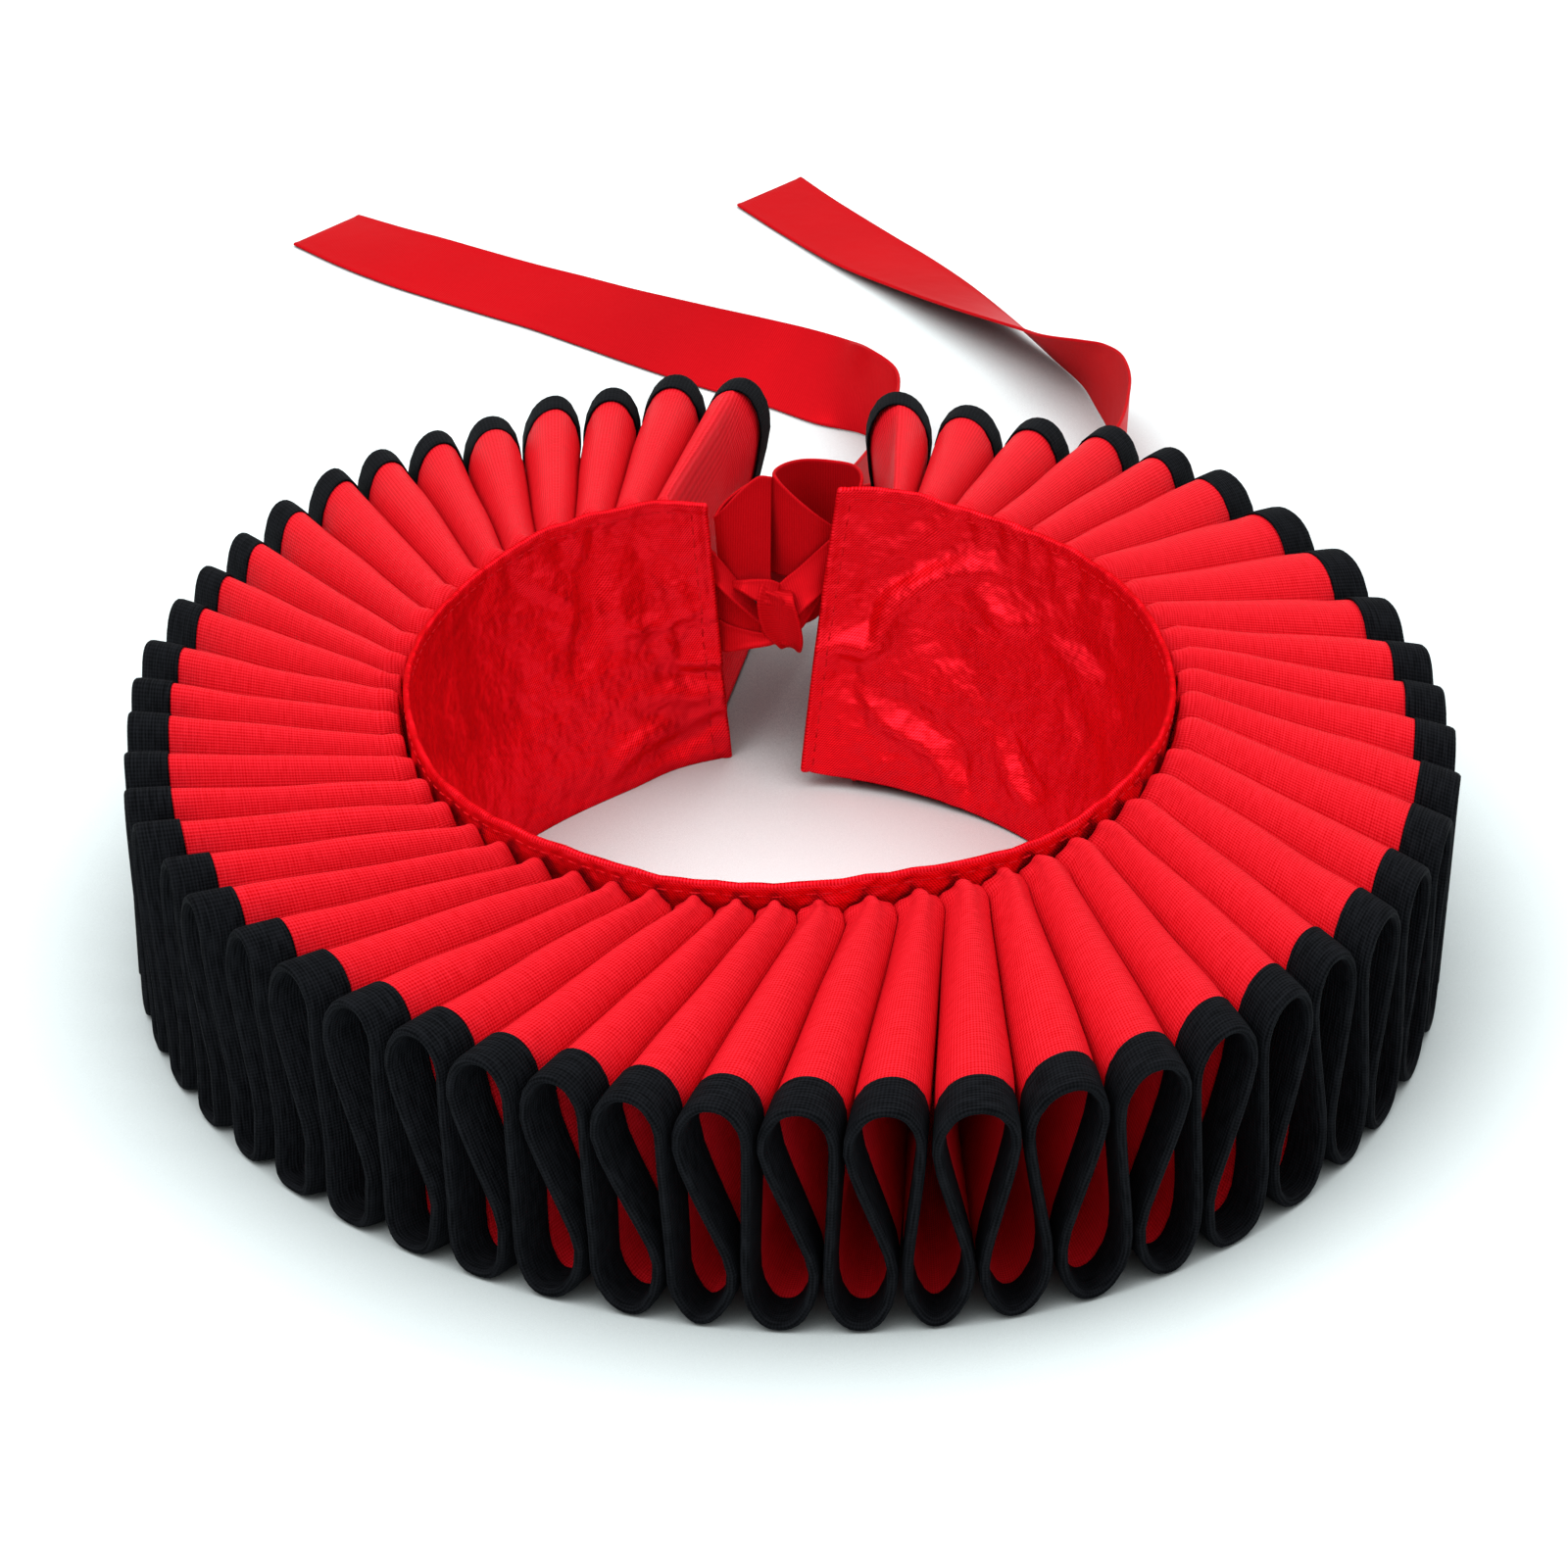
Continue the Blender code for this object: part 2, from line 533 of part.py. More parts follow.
def main():
    clear_scene()
    collection = bpy.data.collections.new("ruff_collar")
    bpy.context.scene.collection.children.link(collection)
    materials = {name: make_material(name) for name in COLOURS}
    build_frill_panels(materials, collection)
    build_neckband(materials, collection)
    for name, table in (("tie_lead_left", LEAD_LEFT), ("tie_lead_right", LEAD_RIGHT),
                        ("bow_loop_left", LOOP_LEFT), ("bow_loop_right", LOOP_RIGHT),
                        ("tie_tail_left", TAIL_LEFT), ("tie_tail_right", TAIL_RIGHT)):
        build_ribbon(name, table, materials, collection)
    build_knot(materials, collection)
    stand_on_origin(collection)


main()
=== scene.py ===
# Ruff collar: a fluted frill bound in black, a satin neckband and a ribbon tie.
# Metres, +Z up. The wearer's front is -Y, and angles run from the front towards +X.
import math

import bpy
import numpy as np
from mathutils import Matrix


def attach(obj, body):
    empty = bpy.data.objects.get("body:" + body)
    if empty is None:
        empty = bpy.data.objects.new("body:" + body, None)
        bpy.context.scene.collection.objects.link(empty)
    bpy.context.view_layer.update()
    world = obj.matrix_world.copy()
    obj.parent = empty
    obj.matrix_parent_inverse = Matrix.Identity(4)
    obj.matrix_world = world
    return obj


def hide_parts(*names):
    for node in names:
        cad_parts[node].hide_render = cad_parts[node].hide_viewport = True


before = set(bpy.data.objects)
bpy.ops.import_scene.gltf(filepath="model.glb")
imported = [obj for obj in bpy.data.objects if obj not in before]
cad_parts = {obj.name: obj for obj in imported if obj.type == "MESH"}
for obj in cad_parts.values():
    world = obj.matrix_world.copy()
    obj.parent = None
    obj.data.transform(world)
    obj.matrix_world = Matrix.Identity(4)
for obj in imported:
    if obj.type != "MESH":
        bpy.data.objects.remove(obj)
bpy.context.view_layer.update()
mm = 0.001
ringMiddle = np.array((0.0, -0.09910, 0.0))  # middle of the frill's ring in the frame


def mix(start, end, share):
    return start + (end - start) * share


def softStep(low, high, value):
    share = np.clip((value - low) / (high - low), 0.0, 1.0)
    return share * share * (3 - 2 * share)


def polar(radius, degrees, middle=(0.0, 0.0)):
    turn = np.radians(degrees)
    return middle[0] + radius * np.sin(turn), middle[1] - radius * np.cos(turn)


def smoothRows(rows, steps):
    # a smooth curve through the rows of a table; steps is one count or one per gap
    rows = np.asarray(rows, float)
    padded = np.concatenate((2 * rows[:1] - rows[1:2], rows, 2 * rows[-1:] - rows[-2:-1]))
    pieces = []
    for index, count in enumerate(np.broadcast_to(steps, len(rows) - 1)):
        a, b, c, d = padded[index:index + 4]
        t = (np.arange(count) / count)[:, None]
        pieces.append(0.5 * (2 * b + (c - a) * t + (2 * a - 5 * b + 4 * c - d) * t * t
                             + (3 * b - a - 3 * c + d) * t ** 3))
    return np.concatenate(pieces + [rows[-1:]])


def unitVectors(vectors):
    return vectors / np.maximum(np.linalg.norm(vectors, axis=-1, keepdims=True), 1e-12)


def gridNormals(grid):
    return unitVectors(np.cross(np.gradient(grid, axis=1), np.gradient(grid, axis=0)))


def lengthAlong(line):
    # how far each point of a line lies from its start
    return np.concatenate(((0.0,), np.cumsum(np.linalg.norm(np.diff(line, axis=0), axis=1))))


def lengthAcross(grid):
    # how far each row of a grid lies from the first one, as the mean of its columns
    steps = np.linalg.norm(np.diff(grid, axis=0), axis=2).mean(1)
    return np.concatenate(((0.0,), np.cumsum(steps)))[:, None]


def clothPlaces(along, across):
    # where each point of a grid lies on the flat cloth
    return np.stack(np.broadcast_arrays(along, across), -1)


def addRoundedRim(fields, axis):
    # two more rows beyond each end of the grid, so that the cloth's cut edge is round
    grid, wall, places = (np.swapaxes(field, 0, axis) for field in fields)
    rows = list(zip(grid, wall, places))
    for end, inner in ((0, 1), (-1, -2)):
        away = unitVectors(grid[end] - grid[inner])
        for reach, share in ((0.7, 0.71), (1.0, 0.0)):
            beyond = grid[end] + away * (wall[end] * reach)[..., None]
            rows.insert(0 if end == 0 else len(rows), (beyond, wall[end] * share, places[end]))
    return [np.swapaxes(np.stack(field), 0, axis) for field in zip(*rows)]


def shellPart(grid, wall, places):
    # closed cloth shell with rounded edges on both sides of a grid of points;
    # wall is half the cloth's thickness
    fields = addRoundedRim((grid, np.broadcast_to(wall, grid.shape[:2]), places), 0)
    grid, wall, places = addRoundedRim(fields, 1)
    offset = gridNormals(grid) * wall[..., None]
    frontIndex = np.arange(wall.size).reshape(wall.shape)
    backIndex = np.where(wall > 0, frontIndex + wall.size, frontIndex)

    def quads(index):
        return np.stack((index[:-1, :-1], index[:-1, 1:], index[1:, 1:], index[1:, :-1]),
                        -1).reshape(-1, 4)

    faces = np.concatenate((quads(frontIndex), quads(backIndex)[:, ::-1]))
    points = np.concatenate(((grid + offset).reshape(-1, 3), (grid - offset).reshape(-1, 3)))
    places = np.tile(places.reshape(-1, 2), (2, 1))
    used, faces = np.unique(faces, return_inverse=True)
    return points[used], faces.reshape(-1, 4), places[used]


def joinParts(parts):
    points, faces, places = zip(*parts)
    starts = np.cumsum([0] + [len(part) for part in points])
    faces = [part + start for part, start in zip(faces, starts)]
    return np.concatenate(points), np.concatenate(faces), np.concatenate(places)


def threadPart(middles, alongs, ups, length, thick):
    # short stitches, each a four-sided thread that dips into the cloth at both ends;
    # profile: place along it, size, and how far up
    profile = ((-0.5, 0.5, -0.9), (-0.32, 1.0, 0.1), (0.32, 1.0, 0.1), (0.5, 0.5, -0.9))
    across = unitVectors(np.cross(ups, alongs))
    points = []
    for place, size, dip in profile:
        for wide, high in ((1, 0), (0, 1), (-1, 0), (0, -1)):
            points.append(middles + alongs * (place * length)
                          + ups * ((dip + high * size) * thick * 0.5)
                          + across * (wide * size * thick * 0.5))
    ring = np.arange(4)
    after = (ring + 1) % 4
    walls = [np.stack((4 * step + ring, 4 * step + after, 4 * step + 4 + after,
                       4 * step + 4 + ring), -1) for step in range(len(profile) - 1)]
    one = np.concatenate(walls + [np.array(((3, 2, 1, 0), (12, 13, 14, 15)))])
    starts = np.arange(len(middles)) * 4 * len(profile)
    points = np.stack(points, 1).reshape(-1, 3)
    return points, (one[None] + starts[:, None, None]).reshape(-1, 4), points[:, :2] * 0.5


def stitchRow(normals, line, stitch):
    # stitches evenly spaced along a line on one face of the cloth
    run = lengthAlong(line)
    places = np.arange(0.5 * stitch["length"], run[-1], stitch["length"] + stitch["gap"])

    def atPlaces(values):
        return np.stack([np.interp(places, run, column) for column in values.T], -1)

    ups = unitVectors(atPlaces(normals))
    alongs = unitVectors(atPlaces(np.gradient(line, run, axis=0)))
    return threadPart(atPlaces(line) + ups * stitch["lift"], alongs, ups,
                      stitch["length"], stitch["thick"])


def meshPiece(name, points, faces, places, finish):
    mesh = bpy.data.meshes.new(name)
    mesh.from_pydata((points + ringMiddle).tolist(), [], faces.tolist())
    clothMap = mesh.uv_layers.new(name="cloth")
    clothMap.uv.foreach_set("vector", places[faces.ravel()].astype(np.float32).ravel())
    mesh.shade_smooth()
    mesh.materials.append(finish)
    piece = bpy.data.objects.new(name, mesh)
    bpy.context.scene.collection.objects.link(piece)
    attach(piece, "root")
    return piece


def surfaceArea(piece):
    return sum(face.area for face in piece.data.polygons)


def setInputs(tree, node, values):
    # values by label or number: an output is linked, anything else is set
    for label, value in values.items():
        if isinstance(value, bpy.types.NodeSocket):
            tree.links.new(value, node.inputs[label])
        else:
            node.inputs[label].default_value = value
    return node


def addNode(tree, kind, values):
    return setInputs(tree, tree.nodes.new(kind), values)


def mathNode(tree, operation, *values):
    node = addNode(tree, "ShaderNodeMath", dict(enumerate(values)))
    node.operation = operation
    return node.outputs[0]


def noiseNode(tree, vector, scale, detail=2.0):
    return addNode(tree, "ShaderNodeTexNoise",
                   {"Vector": vector, "Scale": scale, "Detail": detail}).outputs["Fac"]


def colourMix(tree, blend, share, first, second):
    node = tree.nodes.new("ShaderNodeMix")
    node.data_type = "RGBA"
    node.blend_type = blend
    return setInputs(tree, node, {"Factor": share, "A": first, "B": second}).outputs["Result"]


def newGroup(name, inputs, outputs):
    group = bpy.data.node_groups.new(name, "ShaderNodeTree")
    for label, kind, value in inputs:
        group.interface.new_socket(label, in_out="INPUT",
                                   socket_type="NodeSocket" + kind).default_value = value
    for label, kind in outputs:
        group.interface.new_socket(label, in_out="OUTPUT", socket_type="NodeSocket" + kind)
    return group, group.nodes.new("NodeGroupInput").outputs, group.nodes.new("NodeGroupOutput")


def addGroup(tree, group, values):
    node = tree.nodes.new("ShaderNodeGroup")
    node.node_tree = group
    return setInputs(tree, node, values)


# how fine slubs and ripples are, as noise to the metre, and the detail of the mottle
clothGrain = {"slubAlong": 260.0, "slubAcross": 1900.0, "mottleDetail": 3.0, "ripple": 190.0}


def weaveGroup():
    # threads that cross: two rows of ridges at their own pitch, turned by a slant
    group, given, out = newGroup(
        "weave",
        (("Cloth Place", "Vector", (0.0, 0.0, 0.0)), ("Warp Pitch", "Float", 0.0006),
         ("Weft Pitch", "Float", 0.0006), ("Slant", "Float", 0.0), ("Warp Share", "Float", 0.5),
         ("Slub", "Float", 0.5)),
        (("Thread", "Float"), ("Slub", "Float")))
    split = addNode(group, "ShaderNodeSeparateXYZ", {0: given["Cloth Place"]})
    along, across = split.outputs["X"], split.outputs["Y"]
    slanted = mathNode(group, "MULTIPLY_ADD", across, given["Slant"], along)
    ridges = []
    for place, pitch in ((slanted, "Warp Pitch"), (across, "Weft Pitch")):
        turns = mathNode(group, "DIVIDE", place, given[pitch])
        wave = mathNode(group, "SINE", mathNode(group, "MULTIPLY", turns, math.tau))
        ridges.append(mathNode(group, "MULTIPLY_ADD", wave, 0.5, 0.5))
    apart = mathNode(group, "SUBTRACT", ridges[0], ridges[1])
    grid = mathNode(group, "MULTIPLY_ADD", apart, given["Warp Share"], ridges[1])
    stretched = addNode(group, "ShaderNodeCombineXYZ", {
        "X": mathNode(group, "MULTIPLY", along, clothGrain["slubAlong"]),
        "Y": mathNode(group, "MULTIPLY", across, clothGrain["slubAcross"])})
    slub = noiseNode(group, stretched.outputs[0], 1.0, 1.0)
    uneven = mathNode(group, "MULTIPLY", mathNode(group, "SUBTRACT", slub, 0.5), given["Slub"])
    setInputs(group, out, {"Thread": mathNode(group, "ADD", grid, uneven), "Slub": slub})
    return group


def mottleGroup():
    # broad soft unevenness of dye and handling; where it is strong, as on the ribbon, it is also
    # painted broad sheen
    group, given, out = newGroup(
        "dyeMottleAndSheen", (("Size", "Float", 40.0), ("Amount", "Float", 0.1)), (("Shade", "Float"),))
    place = group.nodes.new("ShaderNodeTexCoord").outputs["Object"]
    noise = noiseNode(group, place, given["Size"], clothGrain["mottleDetail"])
    centred = mathNode(group, "SUBTRACT", noise, 0.5)
    shade = mathNode(group, "MULTIPLY_ADD", centred, given["Amount"], 1.0)
    setInputs(group, out, {"Shade": shade})
    return group


def rippleGroup():
    # soft fine wrinkles of thin satin
    group, given, out = newGroup("rippling", (("Depth", "Float", 0.0005),),
                                 (("Normal", "Vector"),))
    place = group.nodes.new("ShaderNodeTexCoord").outputs["Object"]
    ripple = addNode(group, "ShaderNodeBump", {
        "Strength": 1.0, "Distance": given["Depth"],
        "Height": noiseNode(group, place, clothGrain["ripple"])})
    setInputs(group, out, {"Normal": ripple.outputs["Normal"]})
    return group


weave, dyeMottleAndSheen, rippling = weaveGroup(), mottleGroup(), rippleGroup()


def clothFinish(name, look):
    # woven cloth: base colours mixed by the weave, with painted shade in its hollows and a
    # painted, pinker highlight on its raised threads; bump from the threads
    material = bpy.data.materials.new(name)
    material.use_nodes = True
    tree = material.node_tree
    place = tree.nodes.new("ShaderNodeUVMap")
    place.uv_map = "cloth"
    threads = addGroup(tree, weave, {
        "Cloth Place": place.outputs["UV"], "Warp Pitch": look["warpPitch"],
        "Weft Pitch": look["weftPitch"], "Slant": look["slant"],
        "Warp Share": look["warpShare"], "Slub": look["slub"]}).outputs
    broad = addGroup(tree, dyeMottleAndSheen, {"Size": look["mottleSize"], "Amount": look["dyeMottleAndSheen"]})
    # painted shade and highlight: the weave's hollows darker, its raised threads lighter and
    # pinker
    weaveShadeAndHighlight = colourMix(tree, "MIX", threads["Thread"], (*look["hollowShadeColour"], 1.0),
                     (*look["ridgeHighlightColour"], 1.0))
    bump = addNode(tree, "ShaderNodeBump", {
        "Strength": look["bump"], "Distance": look["bumpDepth"], "Height": threads["Thread"]})
    if look["ripple"] > 0:
        ripples = addGroup(tree, rippling, {"Depth": look["ripple"]})
        setInputs(tree, bump, {"Normal": ripples.outputs["Normal"]})
    setInputs(tree, tree.nodes["Principled BSDF"], {
        "Base Color": colourMix(tree, "MULTIPLY", 1.0, weaveShadeAndHighlight, broad.outputs["Shade"]),
        "Roughness": mathNode(tree, "MULTIPLY_ADD", threads["Slub"], look["roughSpread"],
                              look["roughness"] - 0.5 * look["roughSpread"]),
        "Specular IOR Level": look["specular"], "Specular Tint": (*look["glossTint"], 1.0),
        "Metallic": look["lustre"], "Normal": bump.outputs["Normal"]})
    return material


plainLook = {"slant": 0.0, "dyeMottleAndSheen": 0.1, "mottleSize": 60.0, "roughSpread": 0.1,
             "lustre": 0.0, "ripple": 0.0}
sewingThread = {"warpPitch": 0.3 * mm, "weftPitch": 0.3 * mm, "warpShare": 0.5, "slant": 1.0,
                "slub": 0.4, "bump": 0.2, "bumpDepth": 0.05 * mm}
# In each look the hollow colour is the weave's hollows with painted shade, and the ridge colour
# is its raised threads with a painted highlight
clothLooks = {
    "frillCloth": {
        "hollowShadeColour": (0.50, 0.0008, 0.0024), "ridgeHighlightColour": (0.78, 0.018, 0.032),
        "warpPitch": 0.62 * mm, "weftPitch": 0.60 * mm, "warpShare": 0.55, "slub": 0.7,
        "mottleSize": 45.0, "roughness": 0.55, "roughSpread": 0.14, "specular": 0.06,
        "glossTint": (1.0, 0.17, 0.25), "bump": 0.6, "bumpDepth": 0.14 * mm},
    "bindingCloth": {
        "hollowShadeColour": (0.0012, 0.0014, 0.0019), "ridgeHighlightColour": (0.0080, 0.0088, 0.0108),
        "warpPitch": 0.62 * mm, "weftPitch": 0.56 * mm, "warpShare": 0.45, "slub": 1.8,
        "dyeMottleAndSheen": 0.3, "roughness": 0.8, "specular": 0.04, "glossTint": (0.9, 0.95, 1.0),
        "bump": 0.7, "bumpDepth": 0.14 * mm},
    "bandSatin": {
        "hollowShadeColour": (0.54, 0.0003, 0.0014), "ridgeHighlightColour": (1.0, 0.0190, 0.0380),
        "warpPitch": 0.55 * mm, "weftPitch": 0.46 * mm, "warpShare": 0.7, "slant": 0.8,
        "slub": 0.12, "dyeMottleAndSheen": 0.35, "mottleSize": 70.0, "roughness": 0.38,
        "specular": 0.03, "glossTint": (1.0, 0.08, 0.13), "lustre": 0.85,
        "ripple": 1.35 * mm, "bump": 0.5, "bumpDepth": 0.055 * mm},
    "blackThread": {
        **sewingThread, "hollowShadeColour": (0.0030, 0.0032, 0.0038), "ridgeHighlightColour": (0.0140, 0.0145, 0.0160),
        "roughness": 0.5, "specular": 0.1, "glossTint": (0.9, 0.95, 1.0)},
    "redThread": {
        **sewingThread, "hollowShadeColour": (0.44, 0.0010, 0.0030), "ridgeHighlightColour": (0.66, 0.012, 0.020),
        "roughness": 0.45, "specular": 0.06, "glossTint": (1.0, 0.2, 0.25)},
    "ribbonSatin": {
        "hollowShadeColour": (0.44, 0.0022, 0.0050), "ridgeHighlightColour": (0.54, 0.0060, 0.0110),
        "warpPitch": 0.50 * mm, "weftPitch": 0.30 * mm, "warpShare": 0.85, "slub": 0.3,
        # the ribbon's strong, small mottle is painted broad sheen as well as uneven dye
        "dyeMottleAndSheen": 0.45, "mottleSize": 16.0, "roughness": 0.40, "roughSpread": 0.06,
        "specular": 0.03, "glossTint": (1.0, 0.18, 0.25), "lustre": 0.3,
        "ripple": 0.12 * mm, "bump": 0.3, "bumpDepth": 0.06 * mm},
}
finishes = {name: clothFinish(name, {**plainLook, **look}) for name, look in clothLooks.items()}
print("materials made")


frill = {
    "radius": 120 * mm, "oval": 0.0235, "ovalTurn": 22.5, "fourSided": 0.0072,
    "crown": 48.0 * mm, "crownTilt": 3.2 * mm, "rimDrop": 0.2 * mm,
    "rimStack": 0.95 * mm,  # from the middle of the cloth to the top of its binding
    "knuckle": 55.4 * mm, "knuckleReach": 3.2 * mm, "endDrop": 0.8 * mm,
    "halfWall": 0.5 * mm, "footHeight": 1.12 * mm,
    "rimEnds": (-178.0, 172.7), "neckEnds": (-168.5, 167.4),
    "rimGap": 1.22 * mm, "neckGap": 0.68 * mm,  # from a touching line to each wall
    "neckRadius": 70 * mm,
    "rimLoose": 0.035, "neckLoose": 0.06,  # how much the flutes' widths differ
    "riseSpread": 0.03, "squareSpread": 0.6, "outwardTurn": 0.1,
    # rows of the grid: shares of the way to the knuckle, a count, and distances from the rim
    "endRows": (0.0, 0.12, 0.3, 0.55, 0.78), "wallRows": 12, "rimRows": (5.0 * mm, 1.4 * mm),
    "pinchReach": 10.0 * mm, "liftReach": 4.0 * mm,
    "flatFrom": 7, "endFlat": 0.85, "endRidge": 0.5 * mm,
    "waves": ((6.2, 0.22), (11.4, 0.13), (18.6, 0.06)),  # radians along a flute, and mm
    "puff": 0.5, "seed": 41,
}
# One flute's section. The crown's arc: share of the way to where it touches its
# neighbour, and how high; the wall: share of the way on to where the feet touch; then the
# arc of the foot
rimArc = ((0.0, 1.0), (0.33, 0.991), (0.64, 0.960), (0.87, 0.910), (0.975, 0.860),
          (1.0, 0.80))
neckArc = ((0.0, 1.0), (0.34, 0.995), (0.66, 0.980), (0.88, 0.955), (0.98, 0.920),
           (1.0, 0.875))
wallRun = ((0.12, 0.71), (0.31, 0.61), (0.52, 0.51), (0.73, 0.41), (0.91, 0.32))
footArc = ((1.0, 0.24), (0.97, 0.165), (0.86, 0.10), (0.63, 0.042), (0.33, 0.008),
           (0.0, 0.0))
spanSteps = (2, 2, 1, 1, 1, 1, 1, 1, 1, 1, 1, 1, 1, 1, 2, 2)
# By flute number: how square the foot is (below 0 it narrows to a point), how much the
# flute's inner end is pinched, and how wide its crown and its foot are
shapeRows = (
    (0, 0.2, 0.2, 1.03, 0.95), (6, 0.2, 0.2, 1.03, 0.95), (8, 1.3, 0.1, 0.80, 0.62),
    (14, 1.7, 0.15, 0.72, 0.52), (19, 1.5, 0.3, 0.76, 0.58), (22, 0.5, 0.5, 0.95, 0.90),
    (26, -0.4, 0.65, 1.02, 1.03), (29, -0.3, 0.7, 1.02, 1.03), (32, 0.1, 0.6, 1.0, 1.02),
    (36, 0.3, 0.45, 1.0, 0.98), (41, 0.2, 0.25, 0.98, 0.94), (51, 0.2, 0.2, 0.97, 0.92),
)

# A row for each flute, from the left of the back opening round the front to its right:
# crown at the binding's seam, lean of the foot after it and crown at the neckband in
# degrees, and how far it stands out of the rim in mm
fluteRows = np.array((
    (-174.4, 1.4, -162.6, 0.5), (-168.4, 1.6, -157.6, 3), (-162.6, 1.8, -151.3, 0),
    (-157, 1.5, -145, 0.5), (-150.5, 1.7, -138.6, -2), (-144.8, 1.9, -133, -1),
    (-138.6, 1.4, -127, 0), (-133.1, 1.6, -120, 1), (-126, 2, -112.8, 0.5),
    (-119.4, 1.8, -105.5, 0), (-113, 1.5, -99.5, 0), (-107, 1.9, -94, 0),
    (-99.6, 2.1, -88.8, 0.5), (-93.5, 1.7, -82.5, 0), (-88, 2, -76.3, -0.5),
    (-81.2, 2.3, -69.7, 0), (-75.2, 2.4, -63.2, 1), (-69.6, 2.8, -56.5, 1.5),
    (-63.8, 3.4, -49.4, -0.5), (-57.6, 3.6, -43.1, 0.5), (-51.4, 3.4, -36.5, -1.5),
    (-44.8, 3.3, -30.2, -1.5), (-37.3, 2.7, -24.3, -1), (-30.9, 2.7, -18.5, -1),
    (-24.1, 2.2, -12.6, 0.5), (-17.9, 3.2, -6.7, 0), (-11.7, 2.3, -1.5, 1),
    (-5.1, 1.9, 4.5, 0.5), (1.5, 1.7, 11.6, 0), (8.2, 0.8, 18.4, 0.5),
    (14.9, -0.3, 24.7, 2), (22.6, -1.2, 31.4, 0.5), (29.4, -1.2, 37.4, 1.5),
    (36.7, -2.1, 44.2, 0), (43.7, -0.6, 50.4, 0), (49.9, -0.2, 57.2, -1),
    (57.6, -1.5, 64.8, 0.3), (64.4, -0.8, 72.3, 0.9), (72.3, 0, 80.5, 1.5),
    (79.5, -0.4, 88, 1.4), (86.7, -0.2, 94.4, 0.3), (93.3, -0.6, 100.4, -0.5),
    (100.2, 0.2, 106.5, -0.5), (108.3, -0.3, 113.3, -1.5), (117.7, 0.4, 120.6, -0.5),
    (126.7, -0.2, 128.4, 0), (135.5, 0.3, 135, 1.5), (141.5, -0.4, 141, 2),
    (148.2, 0.2, 147.4, 2.5), (154.9, 0.3, 153.6, -2), (162.1, -0.3, 159.4, -3),
    (169.1, 0, 164.4, -2),
))
crownAt, leanAt, neckAt, reachAt = fluteRows.T
fluteCount = len(fluteRows)
# How much of the binding's width shows on top, by flute number, in mm
bindingWidths = ((0, 7.4), (10, 7.4), (12, 8.5), (16, 8.6), (19, 7.9), (23, 7.4), (51, 7.4))
widthAt = np.interp(np.arange(fluteCount), *zip(*bindingWidths)) * mm
shapeNumbers, *shapes = np.array(shapeRows).T
squareAt, pinchAt, crownWide, footWide = (
    np.interp(np.arange(fluteCount + 1) - 0.5, shapeNumbers, shape) for shape in shapes)

band = {
    "height": 56.5 * mm, "wall": 1.5 * mm, "floorGap": 0.3 * mm, "edgeWave": 0.5 * mm,
    "halfCloth": 0.42 * mm, "tiers": 64, "pull": 0.7 * mm, "pullSeed": 7,
    "creaseRadius": 66.0,  # in mm, turns an angle into an arc length for the creases
    "creaseGain": 2.2, "creaseRise": 0.9, "creaseLimits": (-0.15, 3.3), "hemLean": 0.5,
    "hemCalm": 0.85,  # how much of the creases the top hem takes away
}
neckMiddle = (-0.6 * mm, -5.8 * mm)
# Neckband: top and foot angle, top and foot radius in mm, lift off the floor in mm
bandRows = (
    (-167, -171, 68.5, 70, 0), (-160, -162, 71.5, 68, 0),
    (-150, -151, 71.5, 64, 0), (-135, -135, 70.5, 62.3, 0),
    (-110, -110, 68.5, 62.5, 0), (-80, -80, 68.2, 62.5, 0),
    (-45, -45, 69.5, 62.5, 0), (0, 0, 69, 62, 0),
    (45, 45, 69.2, 61.5, 0), (80, 80, 69.4, 61, 0),
    (110, 110, 70.3, 60.5, 0), (135, 135, 72.5, 59.5, 0.5),
    (150, 151, 73, 58.6, 1.5), (165, 170, 73.5, 58.5, 2.5),
    (171.7, 176.5, 72.3, 58.4, 3.4),
)
topAngle, footAngle, topRadius, footRadius, footLift = smoothRows(
    bandRows, (14, 12, 16, 24, 24, 26, 28, 28, 26, 24, 28, 20, 20, 10)).T


def bandRadius(degrees, height):
    # radius of the neckband's middle at an angle round the neck and a height
    foot = np.interp(degrees, footAngle, footRadius)
    top = np.interp(degrees, topAngle, topRadius)
    return mix(foot, top, np.clip(height / band["height"], 0.0, 1.0)) * mm


def rimRadius(degrees):
    oval = frill["oval"] * np.cos(np.radians(2 * (degrees - frill["ovalTurn"])))
    corners = frill["fourSided"] * np.sin(np.radians(4 * degrees))
    return frill["radius"] * (1 + oval + corners)


def flutePlaces(crowns, leans, endFeet, gap):
    # feet and touching lines of every flute, left and right, in degrees
    inner = (crowns[:-1] + crowns[1:]) / 2
    feet = np.concatenate(((endFeet[0],), inner + leans[:-1], (endFeet[1],)))
    touches = np.concatenate(((2 * crowns[0] - inner[0],), inner, (2 * crowns[-1] - inner[-1],)))
    low = (feet[:-1] + feet[1:]) / 2
    return {"crown": crowns, "feet": np.stack((feet[:-1], feet[1:])),
            "upper": np.stack((touches[:-1] + gap, touches[1:] - gap)),
            "lower": np.stack((low - gap, low + gap))}


